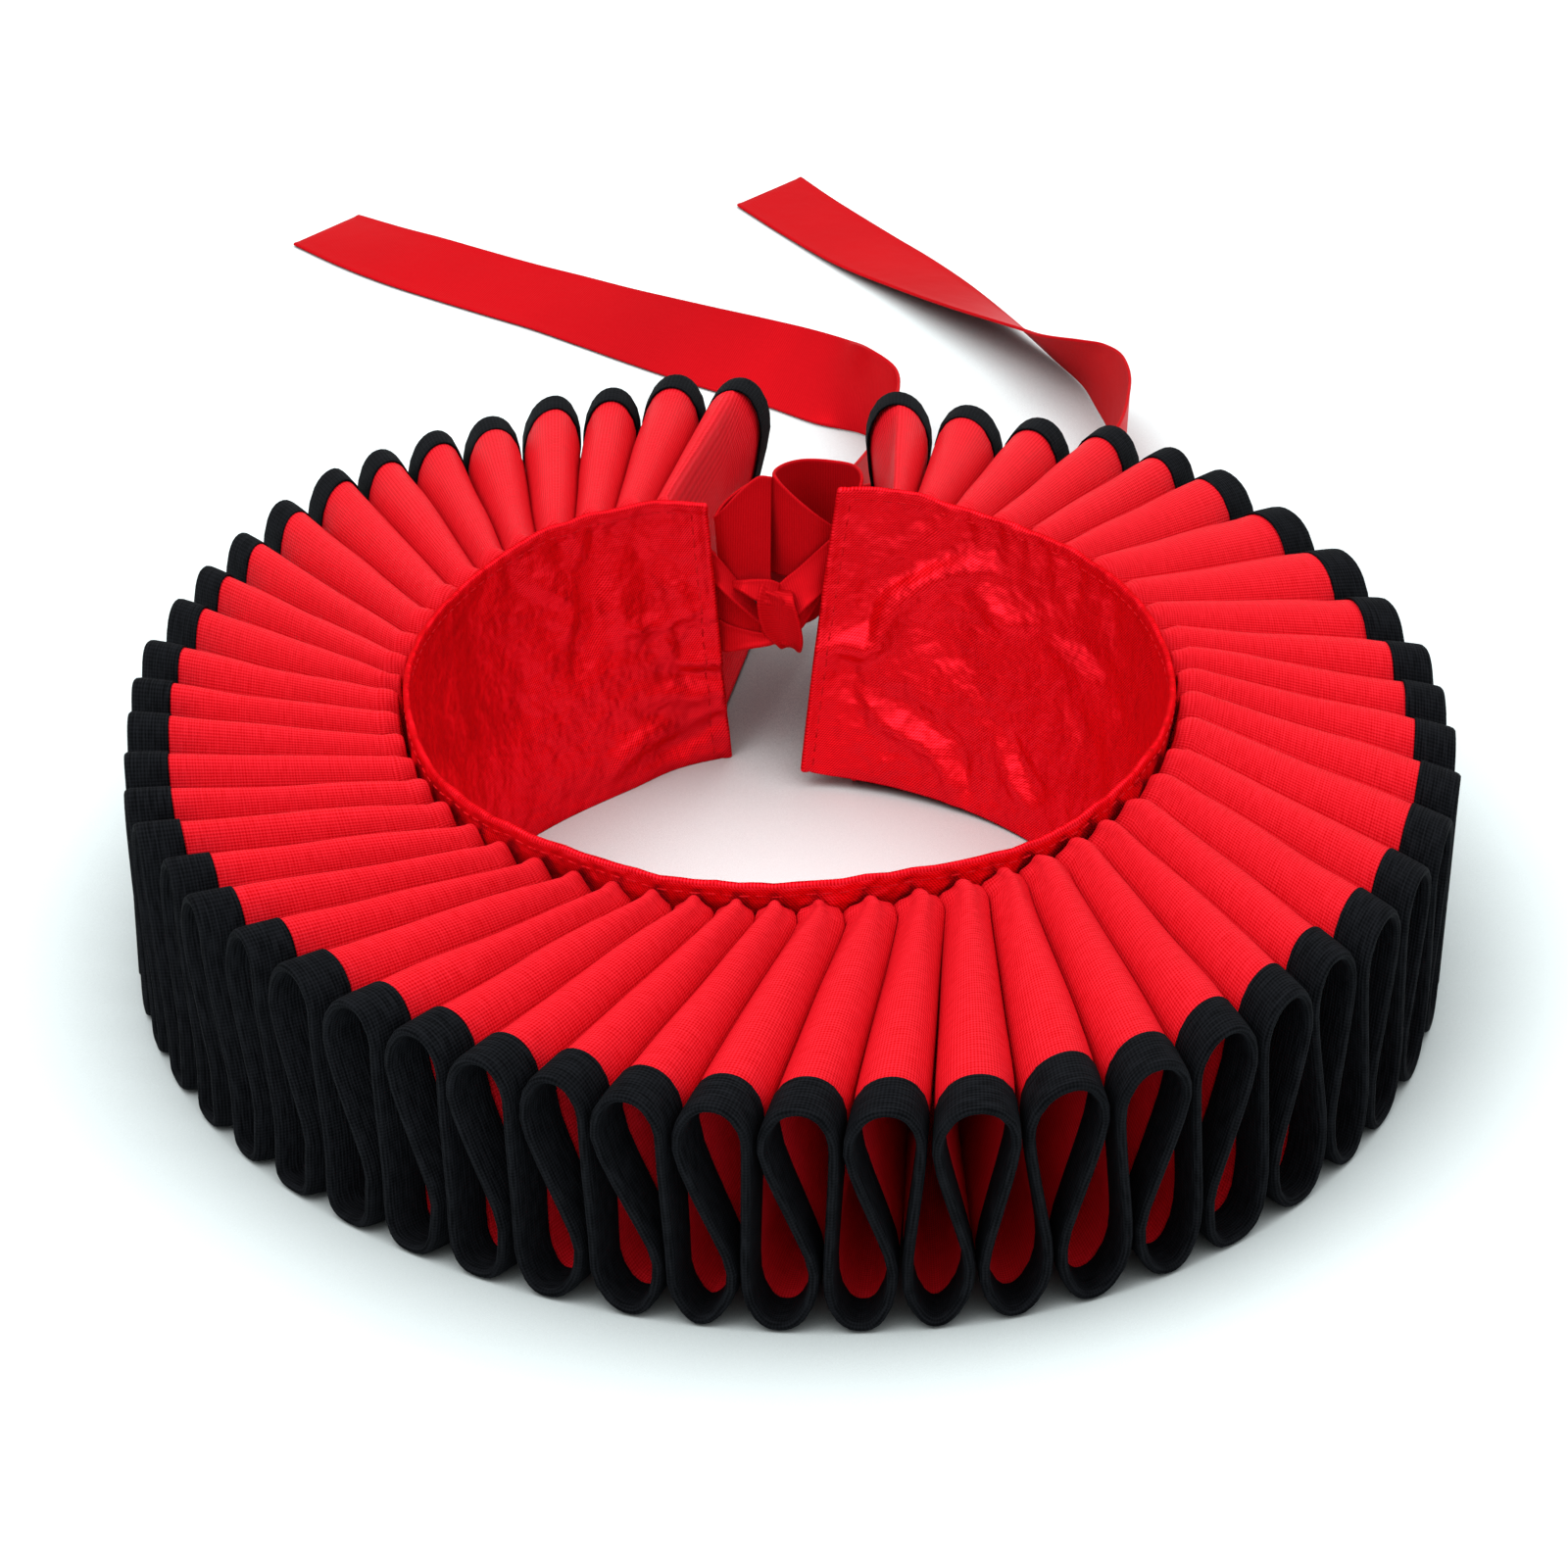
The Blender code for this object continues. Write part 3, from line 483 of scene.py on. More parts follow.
def fluteOutline(places, seed, looseness, crownArc):
    # angle, rise and flute number along the strip, from its left end's foot to its right's
    draw = np.random.default_rng(seed)
    widths = 1 - looseness * draw.random((2, 2, fluteCount))
    shifts = frill["riseSpread"] * (draw.random((2, 2, fluteCount)) - 0.5)
    square = squareAt + frill["squareSpread"] * (draw.random(fluteCount + 1) - 0.5)
    points, spans = [], []
    for flute in range(fluteCount):
        sides = []
        for side in (0, 1):
            crown, foot = places["crown"][flute], places["feet"][side, flute]
            upper = mix(crown, places["upper"][side, flute],
                        widths[0, side, flute] * crownWide[flute])
            lower = mix(foot, places["lower"][side, flute],
                        widths[1, side, flute] * footWide[flute + side])
            half = [(mix(crown, upper, share), rise) for share, rise in crownArc]
            half += [(mix(upper, lower, share), rise) for share, rise in wallRun]
            for share, rise in footArc:
                if rise < 0.15:
                    share += 0.2 * square[flute + side] * math.sin(math.pi * share)
                    rise *= 1 - 0.3 * max(square[flute + side], 0.0)
                half.append((mix(foot, lower, share), rise))
            shift = shifts[0, side, flute]
            sides.append([(angle, rise + shift * math.sin(math.pi * rise), flute)
                          for angle, rise in half])
        points += sides[0][::-1][(0 if flute == 0 else 1):] + sides[1][1:]
        spans += list(spanSteps[::-1]) + list(spanSteps)
    return smoothRows(points, spans)


def byFlute(outline, values):
    return np.interp(outline[:, 2], np.arange(fluteCount), values)


def liftOutline(outline, tops):
    # angle and height of each point, from its rise and its flute's own top
    rise = np.clip(outline[:, 1], -0.01, 1.02)
    return outline[:, 0], mix(frill["footHeight"], byFlute(outline, tops), rise)


def neckPoints(degrees, height, reach):
    x, y = polar(bandRadius(degrees, height) + band["wall"] / 2 + reach, degrees, neckMiddle)
    return np.stack((x, y, height), -1)


rimCrowns = mix(crownAt, neckAt, -frill["outwardTurn"])
rimPlaces = flutePlaces(rimCrowns, leanAt, frill["rimEnds"],
                        math.degrees(frill["rimGap"] / frill["radius"]))
neckPlaces = flutePlaces(neckAt, 0 * leanAt, frill["neckEnds"],
                         math.degrees(frill["neckGap"] / frill["neckRadius"]))
rimOutline = fluteOutline(rimPlaces, frill["seed"], frill["rimLoose"], rimArc)
neckOutline = fluteOutline(neckPlaces, frill["seed"] + 1, frill["neckLoose"], neckArc)
crownHeights = frill["crown"] - frill["crownTilt"] * np.cos(np.radians(rimCrowns))
knuckleTops = np.full(fluteCount, frill["knuckle"] - frill["halfWall"])
columnRise = np.clip(rimOutline[:, 1], 0.0, 1.0)
columnFlute = rimOutline[:, 2]
nearestFlute = np.clip(np.round(columnFlute), 0, fluteCount - 1).astype(int)

rimAngles, rimHeights = liftOutline(rimOutline,
                                    crownHeights - frill["rimDrop"] - frill["rimStack"])
knuckleAngles, knuckleHeights = liftOutline(neckOutline, knuckleTops)
rimLine = np.stack((*polar(rimRadius(rimAngles), rimAngles), rimHeights), -1)
knuckleLine = neckPoints(knuckleAngles, knuckleHeights, frill["knuckleReach"])
run = rimLine[:, :2] - knuckleLine[:, :2]
runLength = np.linalg.norm(run, axis=1)
outReach = byFlute(rimOutline, reachAt) * mm * columnRise
rimLine[:, :2] += run / runLength[:, None] * outReach[:, None]
runLength = runLength + outReach
seamAt = byFlute(rimOutline, widthAt)


def betweenRings(fromRim):
    # one row of the frill's middle surface at a distance in from the rim
    row = mix(rimLine, knuckleLine, (fromRim / runLength)[:, None])
    drop = frill["rimDrop"] * columnRise * np.clip(fromRim / seamAt, 0.0, 1.0)
    inner = np.clip((fromRim - seamAt) / (runLength - seamAt), 0.0, 1.0)
    row[:, 2] += drop * (1 - inner)
    return row


def nearNeck(reach):
    # one row between the neckband and the knuckle, where the flute's end rounds down
    share = reach / frill["knuckleReach"]
    bend = 1 - math.sqrt(max(1 - (1 - share) ** 2, 0.0))
    return neckPoints(*liftOutline(neckOutline, knuckleTops - frill["endDrop"] * bend), reach)


def buildFrillGrid():
    # rows from the neckband out to the rim
    rows = [nearNeck(mix(0.1 * mm, frill["knuckleReach"], share)) for share in frill["endRows"]]
    seam = seamAt + 0.2 * mm
    for share in np.linspace(1.0, 0.0, frill["wallRows"]):
        rows.append(betweenRings(seam + (runLength - seam) * share))
    rows += [betweenRings(np.full_like(runLength, fromRim)) for fromRim in frill["rimRows"]]
    return np.stack(rows)


def pinchEnds(grid):
    # towards the neckband the crowns draw together to narrow ridges, and the cloth
    # between them rises and lies flatter
    crowns = []
    for flute in range(fluteCount):
        own = np.flatnonzero((np.abs(columnFlute - flute) < 0.01) & (columnRise > 0.999))
        crowns.append(grid[:, own[len(own) // 2]])
    crowns = np.stack(crowns, 1)[:, nearestFlute]
    away = np.linalg.norm(grid[:, :, :2] - grid[:1, :, :2], axis=2)
    pinch = pinchAt[nearestFlute] * np.exp(-(away / frill["pinchReach"]) ** 1.3)
    lift = pinchAt[nearestFlute] * np.exp(-(away / frill["liftReach"]) ** 1.5)
    pinch *= softStep(0.82, 0.96, columnRise)
    lift *= softStep(0.45, 0.86, columnRise) * (1 - columnRise ** 8)
    drawn = grid.copy()
    drawn[..., :2] = mix(grid[..., :2], crowns[..., :2], pinch[..., None])
    drawn[..., 2] = mix(grid[..., 2], crowns[..., 2], np.clip(1.1 * lift, 0.0, 0.7))
    return drawn


def flattenEnds(grid):
    # the outer wall of each end flute hangs flat from a wandering crease near its crown
    along = np.linspace(0, 1, grid.shape[0])
    flat = frill["endFlat"] * softStep(0.95, 0.72, along)
    wander = 0.6 + 0.4 * np.sin(31.0 * along) * np.sin(13.0 * along + 0.7)
    wall = np.arange(frill["flatFrom"], sum(spanSteps) + 1)
    bent = grid.copy()
    for columns in (wall, len(columnRise) - 1 - wall):
        share = np.linspace(0, 1, len(columns))[None, :, None]
        chord = mix(grid[:, columns[:1]], grid[:, columns[-1:]], share)
        bent[:, columns] = mix(grid[:, columns], chord, flat[:, None, None])
        bent[:, columns[-1], 2] += frill["endRidge"] * wander * flat
    return bent


def gatherWaves(grid):
    # soft unevenness of each flute, none of it alike
    draw = np.random.default_rng(frill["seed"] + 2)
    along = np.linspace(0, 1, grid.shape[0])[:, None]
    phase = draw.random((4, fluteCount * 2)) * math.tau
    wave = np.zeros(grid.shape[:2])
    for (turn, size), start in zip(frill["waves"], phase):
        wave += size * np.sin(turn * along + start[nearestFlute] + 2.1 * columnRise)
    onCrown = softStep(0.80, 1.0, columnRise)
    away = softStep(0.0, 0.16, along) * (1 - softStep(0.80, 0.95, along))
    # where two flutes touch, the cloth between the binding and the neck puffs out
    touching = np.exp(-((columnRise - 0.83) / 0.09) ** 2)
    feetTouching = np.exp(-((columnRise - 0.22) / 0.09) ** 2)
    puff = frill["puff"] * (feetTouching - touching) * softStep(0.97, 0.85, along)
    return (wave * mix(0.35, 1.0, onCrown) + puff * softStep(0.0, 0.1, along)) * away * mm


frillGrid = flattenEnds(pinchEnds(buildFrillGrid()))
clothRun = lengthAlong(rimLine)
frillPlaces = clothPlaces(clothRun, lengthAcross(frillGrid))
frillGrid = frillGrid + gridNormals(frillGrid) * gatherWaves(frillGrid)[..., None]
frillPiece = meshPiece("frillStrip", *shellPart(frillGrid, frill["halfWall"], frillPlaces),
                       finishes["frillCloth"])
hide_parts(*["frill_%d" % number for number in range(1, 9)])
print("frill strip: %d faces, %.2f m long" % (len(frillPiece.data.polygons), clothRun[-1]))

binding = {
    "halfWall": 0.20 * mm, "seam": 7.4,
    "stitch": {"length": 2.3 * mm, "gap": 0.9 * mm, "thick": 0.3 * mm, "lift": 0.0},
}
# The binding's section in mm: distance in from the rim, up to the seam at 7.4, and
# offset from the middle of the frill's cloth
bindingSection = ((7.4, 0.70), (5.2, 0.74), (2.8, 0.74), (1.3, 0.71), (0.72, 0.62),
                  (0.38, 0.38), (0.28, 0.0), (0.38, -0.38), (0.72, -0.62), (1.3, -0.71),
                  (2.8, -0.74), (5.2, -0.74), (7.4, -0.70))


def buildBindingGrid():
    distances = sorted({distance for distance, _ in bindingSection}, reverse=True)
    rows = []
    for distance in distances:
        # the wide part follows the seam, the rounded rim keeps its size
        rows.append(betweenRings(seamAt * distance / binding["seam"] if distance > 2 else
                                 np.full_like(runLength, distance * mm)))
    rows = np.stack(rows)
    normals = gridNormals(rows)
    order = [distances.index(distance) for distance, _ in bindingSection]
    offsets = np.array([offset for _, offset in bindingSection])[:, None, None] * mm
    return rows[order] + normals[order] * offsets


bindingGrid = buildBindingGrid()
bindingPlaces = clothPlaces(clothRun, lengthAcross(bindingGrid))
bindingPiece = meshPiece("rimBinding",
                         *shellPart(bindingGrid, binding["halfWall"], bindingPlaces),
                         finishes["bindingCloth"])
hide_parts(*["binding_%d" % number for number in range(1, 9)])
print("rim binding: %d faces" % len(bindingPiece.data.polygons))


def bindingStitches():
    # the seam that holds the binding, a little in from its edge, on both faces
    normals = gridNormals(bindingGrid)
    normals *= np.sign(np.median(normals[0, columnRise > 0.995, 2]))
    parts = []
    for edge, inside in ((0, 1), (-1, -2)):
        up = unitVectors(normals[edge] + normals[inside])
        line = mix(bindingGrid[edge], bindingGrid[inside], 0.5) + up * binding["halfWall"]
        parts.append(stitchRow(up, line, binding["stitch"]))
    return joinParts(parts)


bindingThread = meshPiece("bindingStitches", *bindingStitches(), finishes["blackThread"])


# Creases of the neckband's inner face: how far they stand out in mm (less than 0 for a
# trough), half their width in mm, then the angle and height of each point along them
bandCreases = (
    (0.8, 1.6, -134.7, 54.6, -135.8, 50.3),
    (1, 1.8, -135.8, 50.3, -139.9, 46.5, -143.8, 43),
    (1.3, 2, -143.8, 43, -143.9, 39.2, -143, 34),
    (-0.7, 1.6, -133, 54.5, -133.3, 46.5),
    (-0.9, 1.9, -143.1, 55, -143.6, 47.5),
    (0.5, 1.2, -146.9, 55, -147.3, 48.5),
    (-0.8, 1.4, -149.7, 54.5, -149.2, 47.2),
    (0.4, 0.9, -151.3, 55, -151.4, 51.6),
    (-0.5, 1, -152.8, 54.5, -152.9, 50.2),
    (-1.2, 3.4, -148.4, 47.5, -146.3, 40.1, -144.9, 30.5),
    (0.9, 2.2, -150.9, 43, -153, 35.8, -155, 32.2),
    (0.7, 1.8, -155, 32.2, -158.8, 31.6, -162.7, 33.1, -167.2, 33.4),
    (0.8, 2.2, -160, 42, -164.2, 34.6),
    (-0.6, 1.8, -156.2, 47, -160, 37.8),
    (0.6, 1.4, -160.6, 29.2, -161.5, 23.8),
    (0.8, 1.6, -163.4, 22.6, -170.3, 21.7),
    (-0.9, 2, -162.2, 19.6, -170.8, 18.2),
    (0.6, 2.4, -157, 17.4, -166.5, 15.2),
    (-1, 1.5, -170.8, 9.4, -166, 6.6, -162.2, 5.2, -157.8, 5.4),
    (0.8, 1.7, -152.4, 7.4, -157, 9.6, -161, 8.6),
    (0.7, 1.5, -148.6, 4.8, -153.2, 9.6),
    (-0.8, 7, -121, 44, -132, 24),
    (0.5, 4, -112, 46, -115, 26),
    (-0.5, 1.3, -114, 55, -115.2, 47),
    (-0.4, 1.1, -124.8, 55, -125.6, 48.6),
    (0.5, 3.4, -104, 34, -112, 12),
    (-0.6, 2.6, -97, 50, -92, 26),
    (0.6, 2.2, -84, 53, -79, 34, -81, 22),
    (-0.5, 1.6, -72, 55, -71, 44),
    (0.5, 2.8, -64, 44, -50, 26),
    (-0.6, 1.6, -47, 55, -49, 42),
    (0.7, 2, -38, 18, -27, 27, -16, 26),
    (-0.5, 1.4, -24, 55, -23, 46),
    (0.6, 2.6, -10, 50, -2, 34),
    (-0.6, 1.8, 6, 55, 5, 41),
    (0.6, 2.2, 12, 12, 26, 22, 34, 20),
    (-0.5, 1.4, 31, 55, 33, 45),
    (0.6, 2.6, 46, 46, 52, 28),
    (-0.6, 1.7, 63, 55, 62, 43),
    (0.5, 3, 72, 20, 84, 34, 92, 35),
    (-0.5, 1.5, 88, 55, 90, 46),
    (-0.5, 1.3, 105, 55, 104, 46),
    (-1.1, 1.9, 150.6, 52.4, 154.8, 47.6, 159.7, 42.9, 166, 38.2, 165.6, 31.8),
    (1.3, 2, 148.6, 46.6, 156.1, 42.7, 161.1, 37.5, 163.4, 32.5, 165.4, 28.1, 173.6, 27.1),
    (0.8, 1.6, 149.7, 44, 146.5, 41.4, 144, 38.7, 140.3, 38.5, 133.7, 41.8),
    (-1, 2.2, 169.8, 24.6, 168.8, 18.4),
    (-0.8, 5, 156, 33, 149, 29),
    (1, 1.2, 165.2, 18, 162.5, 14.3, 156.8, 12.3, 149.9, 8.8, 146.8, 3.4),
    (-0.8, 2, 161, 18.4, 154, 15.4, 147.6, 11.4, 144.4, 5),
    (0.7, 1.6, 133.4, 38.2, 124.5, 36.9, 114, 37.7),
    (-0.6, 1.8, 129, 40.6, 117, 40),
    (-0.8, 1.4, 120.9, 53.6, 119.1, 46.6),
    (-0.8, 2.2, 121, 37.8, 111, 34.6),
    (-1, 1.6, 137.8, 17.4, 134.9, 13.8, 131.6, 10.9, 127.8, 9.8),
    (0.7, 1.6, 139.8, 16.4, 133.4, 7.6),
    (-0.6, 3.4, 124, 28, 114, 20),
    (0.6, 3, 112, 30, 104, 16),
    (-0.6, 1, 159.4, 54.6, 158.9, 50),
    (-0.6, 1, 152.6, 54.6, 152.2, 51.4),
    (-0.7, 1.1, 146.8, 54.6, 146.4, 48.8),
    (-0.6, 1, 137.6, 54.6, 137.9, 49.6),
    (-0.7, 1.1, 130.2, 54.8, 129.4, 47.6),
    (-0.5, 0.9, 125, 54.8, 124.6, 50.4),
    (-0.5, 1, 142, 54.6, 142.2, 51),
    (0.5, 1, 149.6, 54.8, 149, 50.8),
    (0.5, 1, 140, 54.8, 139.6, 50.4),
    (0.5, 1.1, 133.8, 54.8, 134.4, 49.6),
)
# Raised hem, in mm: width, extra half thickness and how far in its stitches run
hem = {
    "width": 1.5, "rise": 0.22, "stitchIn": 1.9, "sideIn": 2.4, "groove": 0.12,
    "stitch": {"length": 2.1 * mm, "gap": 0.7 * mm, "thick": 0.34 * mm, "lift": 0.02 * mm},
}
# the gathers pull the top edge up and down a little, twice for each flute
pullPlaces = np.sort(np.concatenate((neckAt, (neckAt[1:] + neckAt[:-1]) / 2)))
pulls = band["pull"] * (np.random.default_rng(band["pullSeed"]).random(len(pullPlaces)) - 0.5)


def bandGrid():
    shares = np.linspace(0.0, 1.0, band["tiers"])[:, None]
    angles = mix(footAngle, topAngle, shares)
    x, y = polar(mix(footRadius, topRadius, shares) * mm, angles, neckMiddle)
    top = (band["height"] + band["edgeWave"] * np.sin(np.radians(7 * angles))
           + np.interp(angles, pullPlaces, pulls))
    return np.stack((x, y, mix(footLift * mm + band["floorGap"], top, shares)), -1), angles


def nearLine(places, line):
    # distance from each place to a bent line, and how far along it that is
    best = np.full(places.shape[:-1], np.inf)
    share = np.zeros_like(best)
    for step, (start, end) in enumerate(zip(line[:-1], line[1:])):
        leg = end - start
        along = np.clip(((places - start) @ leg) / (leg @ leg), 0.0, 1.0)
        away = np.linalg.norm(places - start - along[..., None] * leg, axis=-1)
        closer = away < best
        best[closer] = away[closer]
        share[closer] = (step + along[closer]) / (len(line) - 1)
    return best, share


def creaseHeight(angles, heights):
    # how far the creases stand out, in mm; places are arc length and height in mm
    places = np.stack((np.radians(angles) * band["creaseRadius"], heights), -1)
    total = np.zeros(angles.shape)
    for rise, width, *line in bandCreases:
        points = np.reshape(line, (-1, 2)).astype(float)
        points[:, 0] = np.radians(points[:, 0]) * band["creaseRadius"]
        away, share = nearLine(places, smoothRows(points, 6) if len(points) > 2 else points)
        ends = 0.35 + 0.65 * np.sin(math.pi * np.clip(share, 0.02, 0.98)) ** 0.5
        total += rise * ends * np.exp(-(away / (width * mix(0.6, 1.0, ends))) ** 2)
    for _ in range(3):  # soften where creases meet
        padded = np.pad(total, 1, mode="edge")
        total = (padded[:-2, 1:-1] + padded[2:, 1:-1] + padded[1:-1, :-2] + padded[1:-1, 2:]
                 + 2 * padded[1:-1, 1:-1]) / 6
    return total


def bandHem(grid, heights):
    # how much thicker the cloth is near its folded edges
    run = lengthAlong(grid[-1])
    side = np.minimum(run, run[-1] - run) / mm
    rise = np.zeros(heights.shape)
    for away, width in ((grid[-1:, :, 2] / mm - heights, hem["width"]),
                        (side + 0 * heights, hem["width"] * 0.8)):
        rise = np.maximum(rise, hem["rise"] * (1 - softStep(width - 0.6, width, away)))
        rise -= hem["groove"] * np.exp(-((away - width - 0.3) / 0.35) ** 2)
    return rise * mm


neckGrid, neckAngles = bandGrid()
neckHeights = neckGrid[..., 2] / mm
inward = -unitVectors((neckGrid - np.array((*neckMiddle, 0.0))) * np.array((1, 1, 0)))
calm = 1 - softStep(53.2, 54.6, neckHeights) * band["hemCalm"]
creases = band["creaseGain"] * creaseHeight(neckAngles, neckHeights) * calm + band["creaseRise"]
# the top edge leans in over the neck
lean = band["hemLean"] * softStep(52.8, 56.4, neckHeights)
creases = (np.clip(creases, *band["creaseLimits"]) + lean) * mm
neckGrid = neckGrid + inward * creases[..., None]
bandWall = band["halfCloth"] + bandHem(neckGrid, neckHeights)
bandPlaces = clothPlaces(lengthAlong(neckGrid[20]),
                         np.linspace(0.0, band["height"], band["tiers"])[:, None])
bandPiece = meshPiece("neckbandSatin", *shellPart(neckGrid, bandWall, bandPlaces),
                      finishes["bandSatin"])
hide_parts("neckband")


def bandStitches():
    # the seam below the top hem and beside both end hems, seen on both faces
    normals = gridNormals(neckGrid)
    share = 1 - hem["stitchIn"] * mm / (band["height"] - band["floorGap"])
    topRow = round(share * (band["tiers"] - 1))
    run = lengthAlong(neckGrid[-1]) / mm
    left, right = np.searchsorted(run, (hem["sideIn"], run[-1] - hem["sideIn"]))
    sideRows = slice(1, topRow + 1)
    parts = []
    for face in (1, -1):
        for place in ((topRow, slice(left, right + 1)), (sideRows, left), (sideRows, right)):
            up = normals[place] * face
            line = neckGrid[place] + up * bandWall[place][:, None]
            parts.append(stitchRow(up, line, hem["stitch"]))
    return joinParts(parts)


bandThread = meshPiece("neckbandStitches", *bandStitches(), finishes["redThread"])
print("neckband: %d faces" % len(bandPiece.data.polygons))


ribbon = {"halfWall": 0.24 * mm, "across": 13, "steps": 8, "selvedge": 0.7 * mm,
          "selvedgeGain": 0.45}
# Each row is a line across the ribbon, from its lower edge to its upper one, in mm;
# a seventh number is how far the middle stands out to the ribbon's face
tailLeft = (
    (-5.5, 64.4, 26.5, -5.5, 64.4, 35), (-2.5, 76, 21.5, -2.5, 76, 35.2),
    (2, 92, 15.5, 2, 92, 35), (8, 112, 12, 8, 112, 31.8),
    (13, 130, 7, 13, 130, 26.8), (18, 150, 3, 18, 150, 22.9),
    (22, 170, 0.8, 22, 170, 20.8), (22.4, 184, 0.6, 22.6, 184.3, 20.5),
    (16.3, 194.2, 0.6, 17.2, 195.4, 19.8), (6, 199.4, 0.6, 12.8, 210.9, 14),
    (-4.1, 207, 0.6, 4.8, 219.5, 12.3), (-14.4, 213.5, 0.6, -5.6, 226.7, 11.4),
    (-24.7, 220.4, 0.6, -15.1, 234.1, 10), (-35.2, 228.1, 0.6, -24.7, 242.3, 8.3),
    (-45.7, 236.2, 0.6, -34.3, 250.4, 6.7), (-56.3, 244.2, 0.6, -45.5, 259.4, 5.4),
    (-67.2, 251.3, 0.6, -56.5, 266.9, 4.7), (-78.1, 258.5, 0.6, -67.7, 274.4, 4.4),
    (-89.2, 266.2, 0.6, -77.6, 281.5, 4), (-100.1, 275.2, 0.6, -87.1, 289.4, 2.8),
    (-111.1, 286, 0.6, -97.6, 300, 0.9),
)
tailRight = (
    (-1.5, 64.4, 26.5, -1.5, 64.4, 35), (1.8, 73, 23, 1.8, 73, 35.2),
    (5.2, 85, 18, 5.2, 85, 35.6), (8.6, 99, 14, 8.6, 99, 33.8),
    (11.8, 112, 10.5, 11.8, 112, 30.3), (14.5, 123, 6.5, 14.5, 123, 26.3),
    (22, 130.5, 3, 22, 130.5, 22.9), (35, 134.5, 1, 35, 134.5, 21),
    (52, 141, 0.6, 52, 141, 20.6), (66, 156, 0.6, 66, 156, 20.6),
    (70, 178, 0.6, 70.7, 177, 20.5), (68.5, 194, 0.6, 70.2, 190.5, 20.3),
    (65.9, 206.8, 0.6, 66.8, 199.5, 18.8), (63.4, 217.1, 0.6, 62, 206, 16.6),
    (58, 228.9, 0.6, 54.5, 214.5, 13.5), (50.7, 242.7, 1.6, 49, 224.5, 10.5),
    (41, 261.6, 1.6, 34.7, 243.5, 6.2), (32.1, 276.7, 1.2, 22.7, 259.5, 3.2),
    (23.1, 290.3, 0.7, 10.6, 275, 1.2), (10.8, 308.3, 0.6, -1.7, 292.3, 0.6),
    (3, 320.8, 0.6, -11.3, 306.4, 0.6),
)
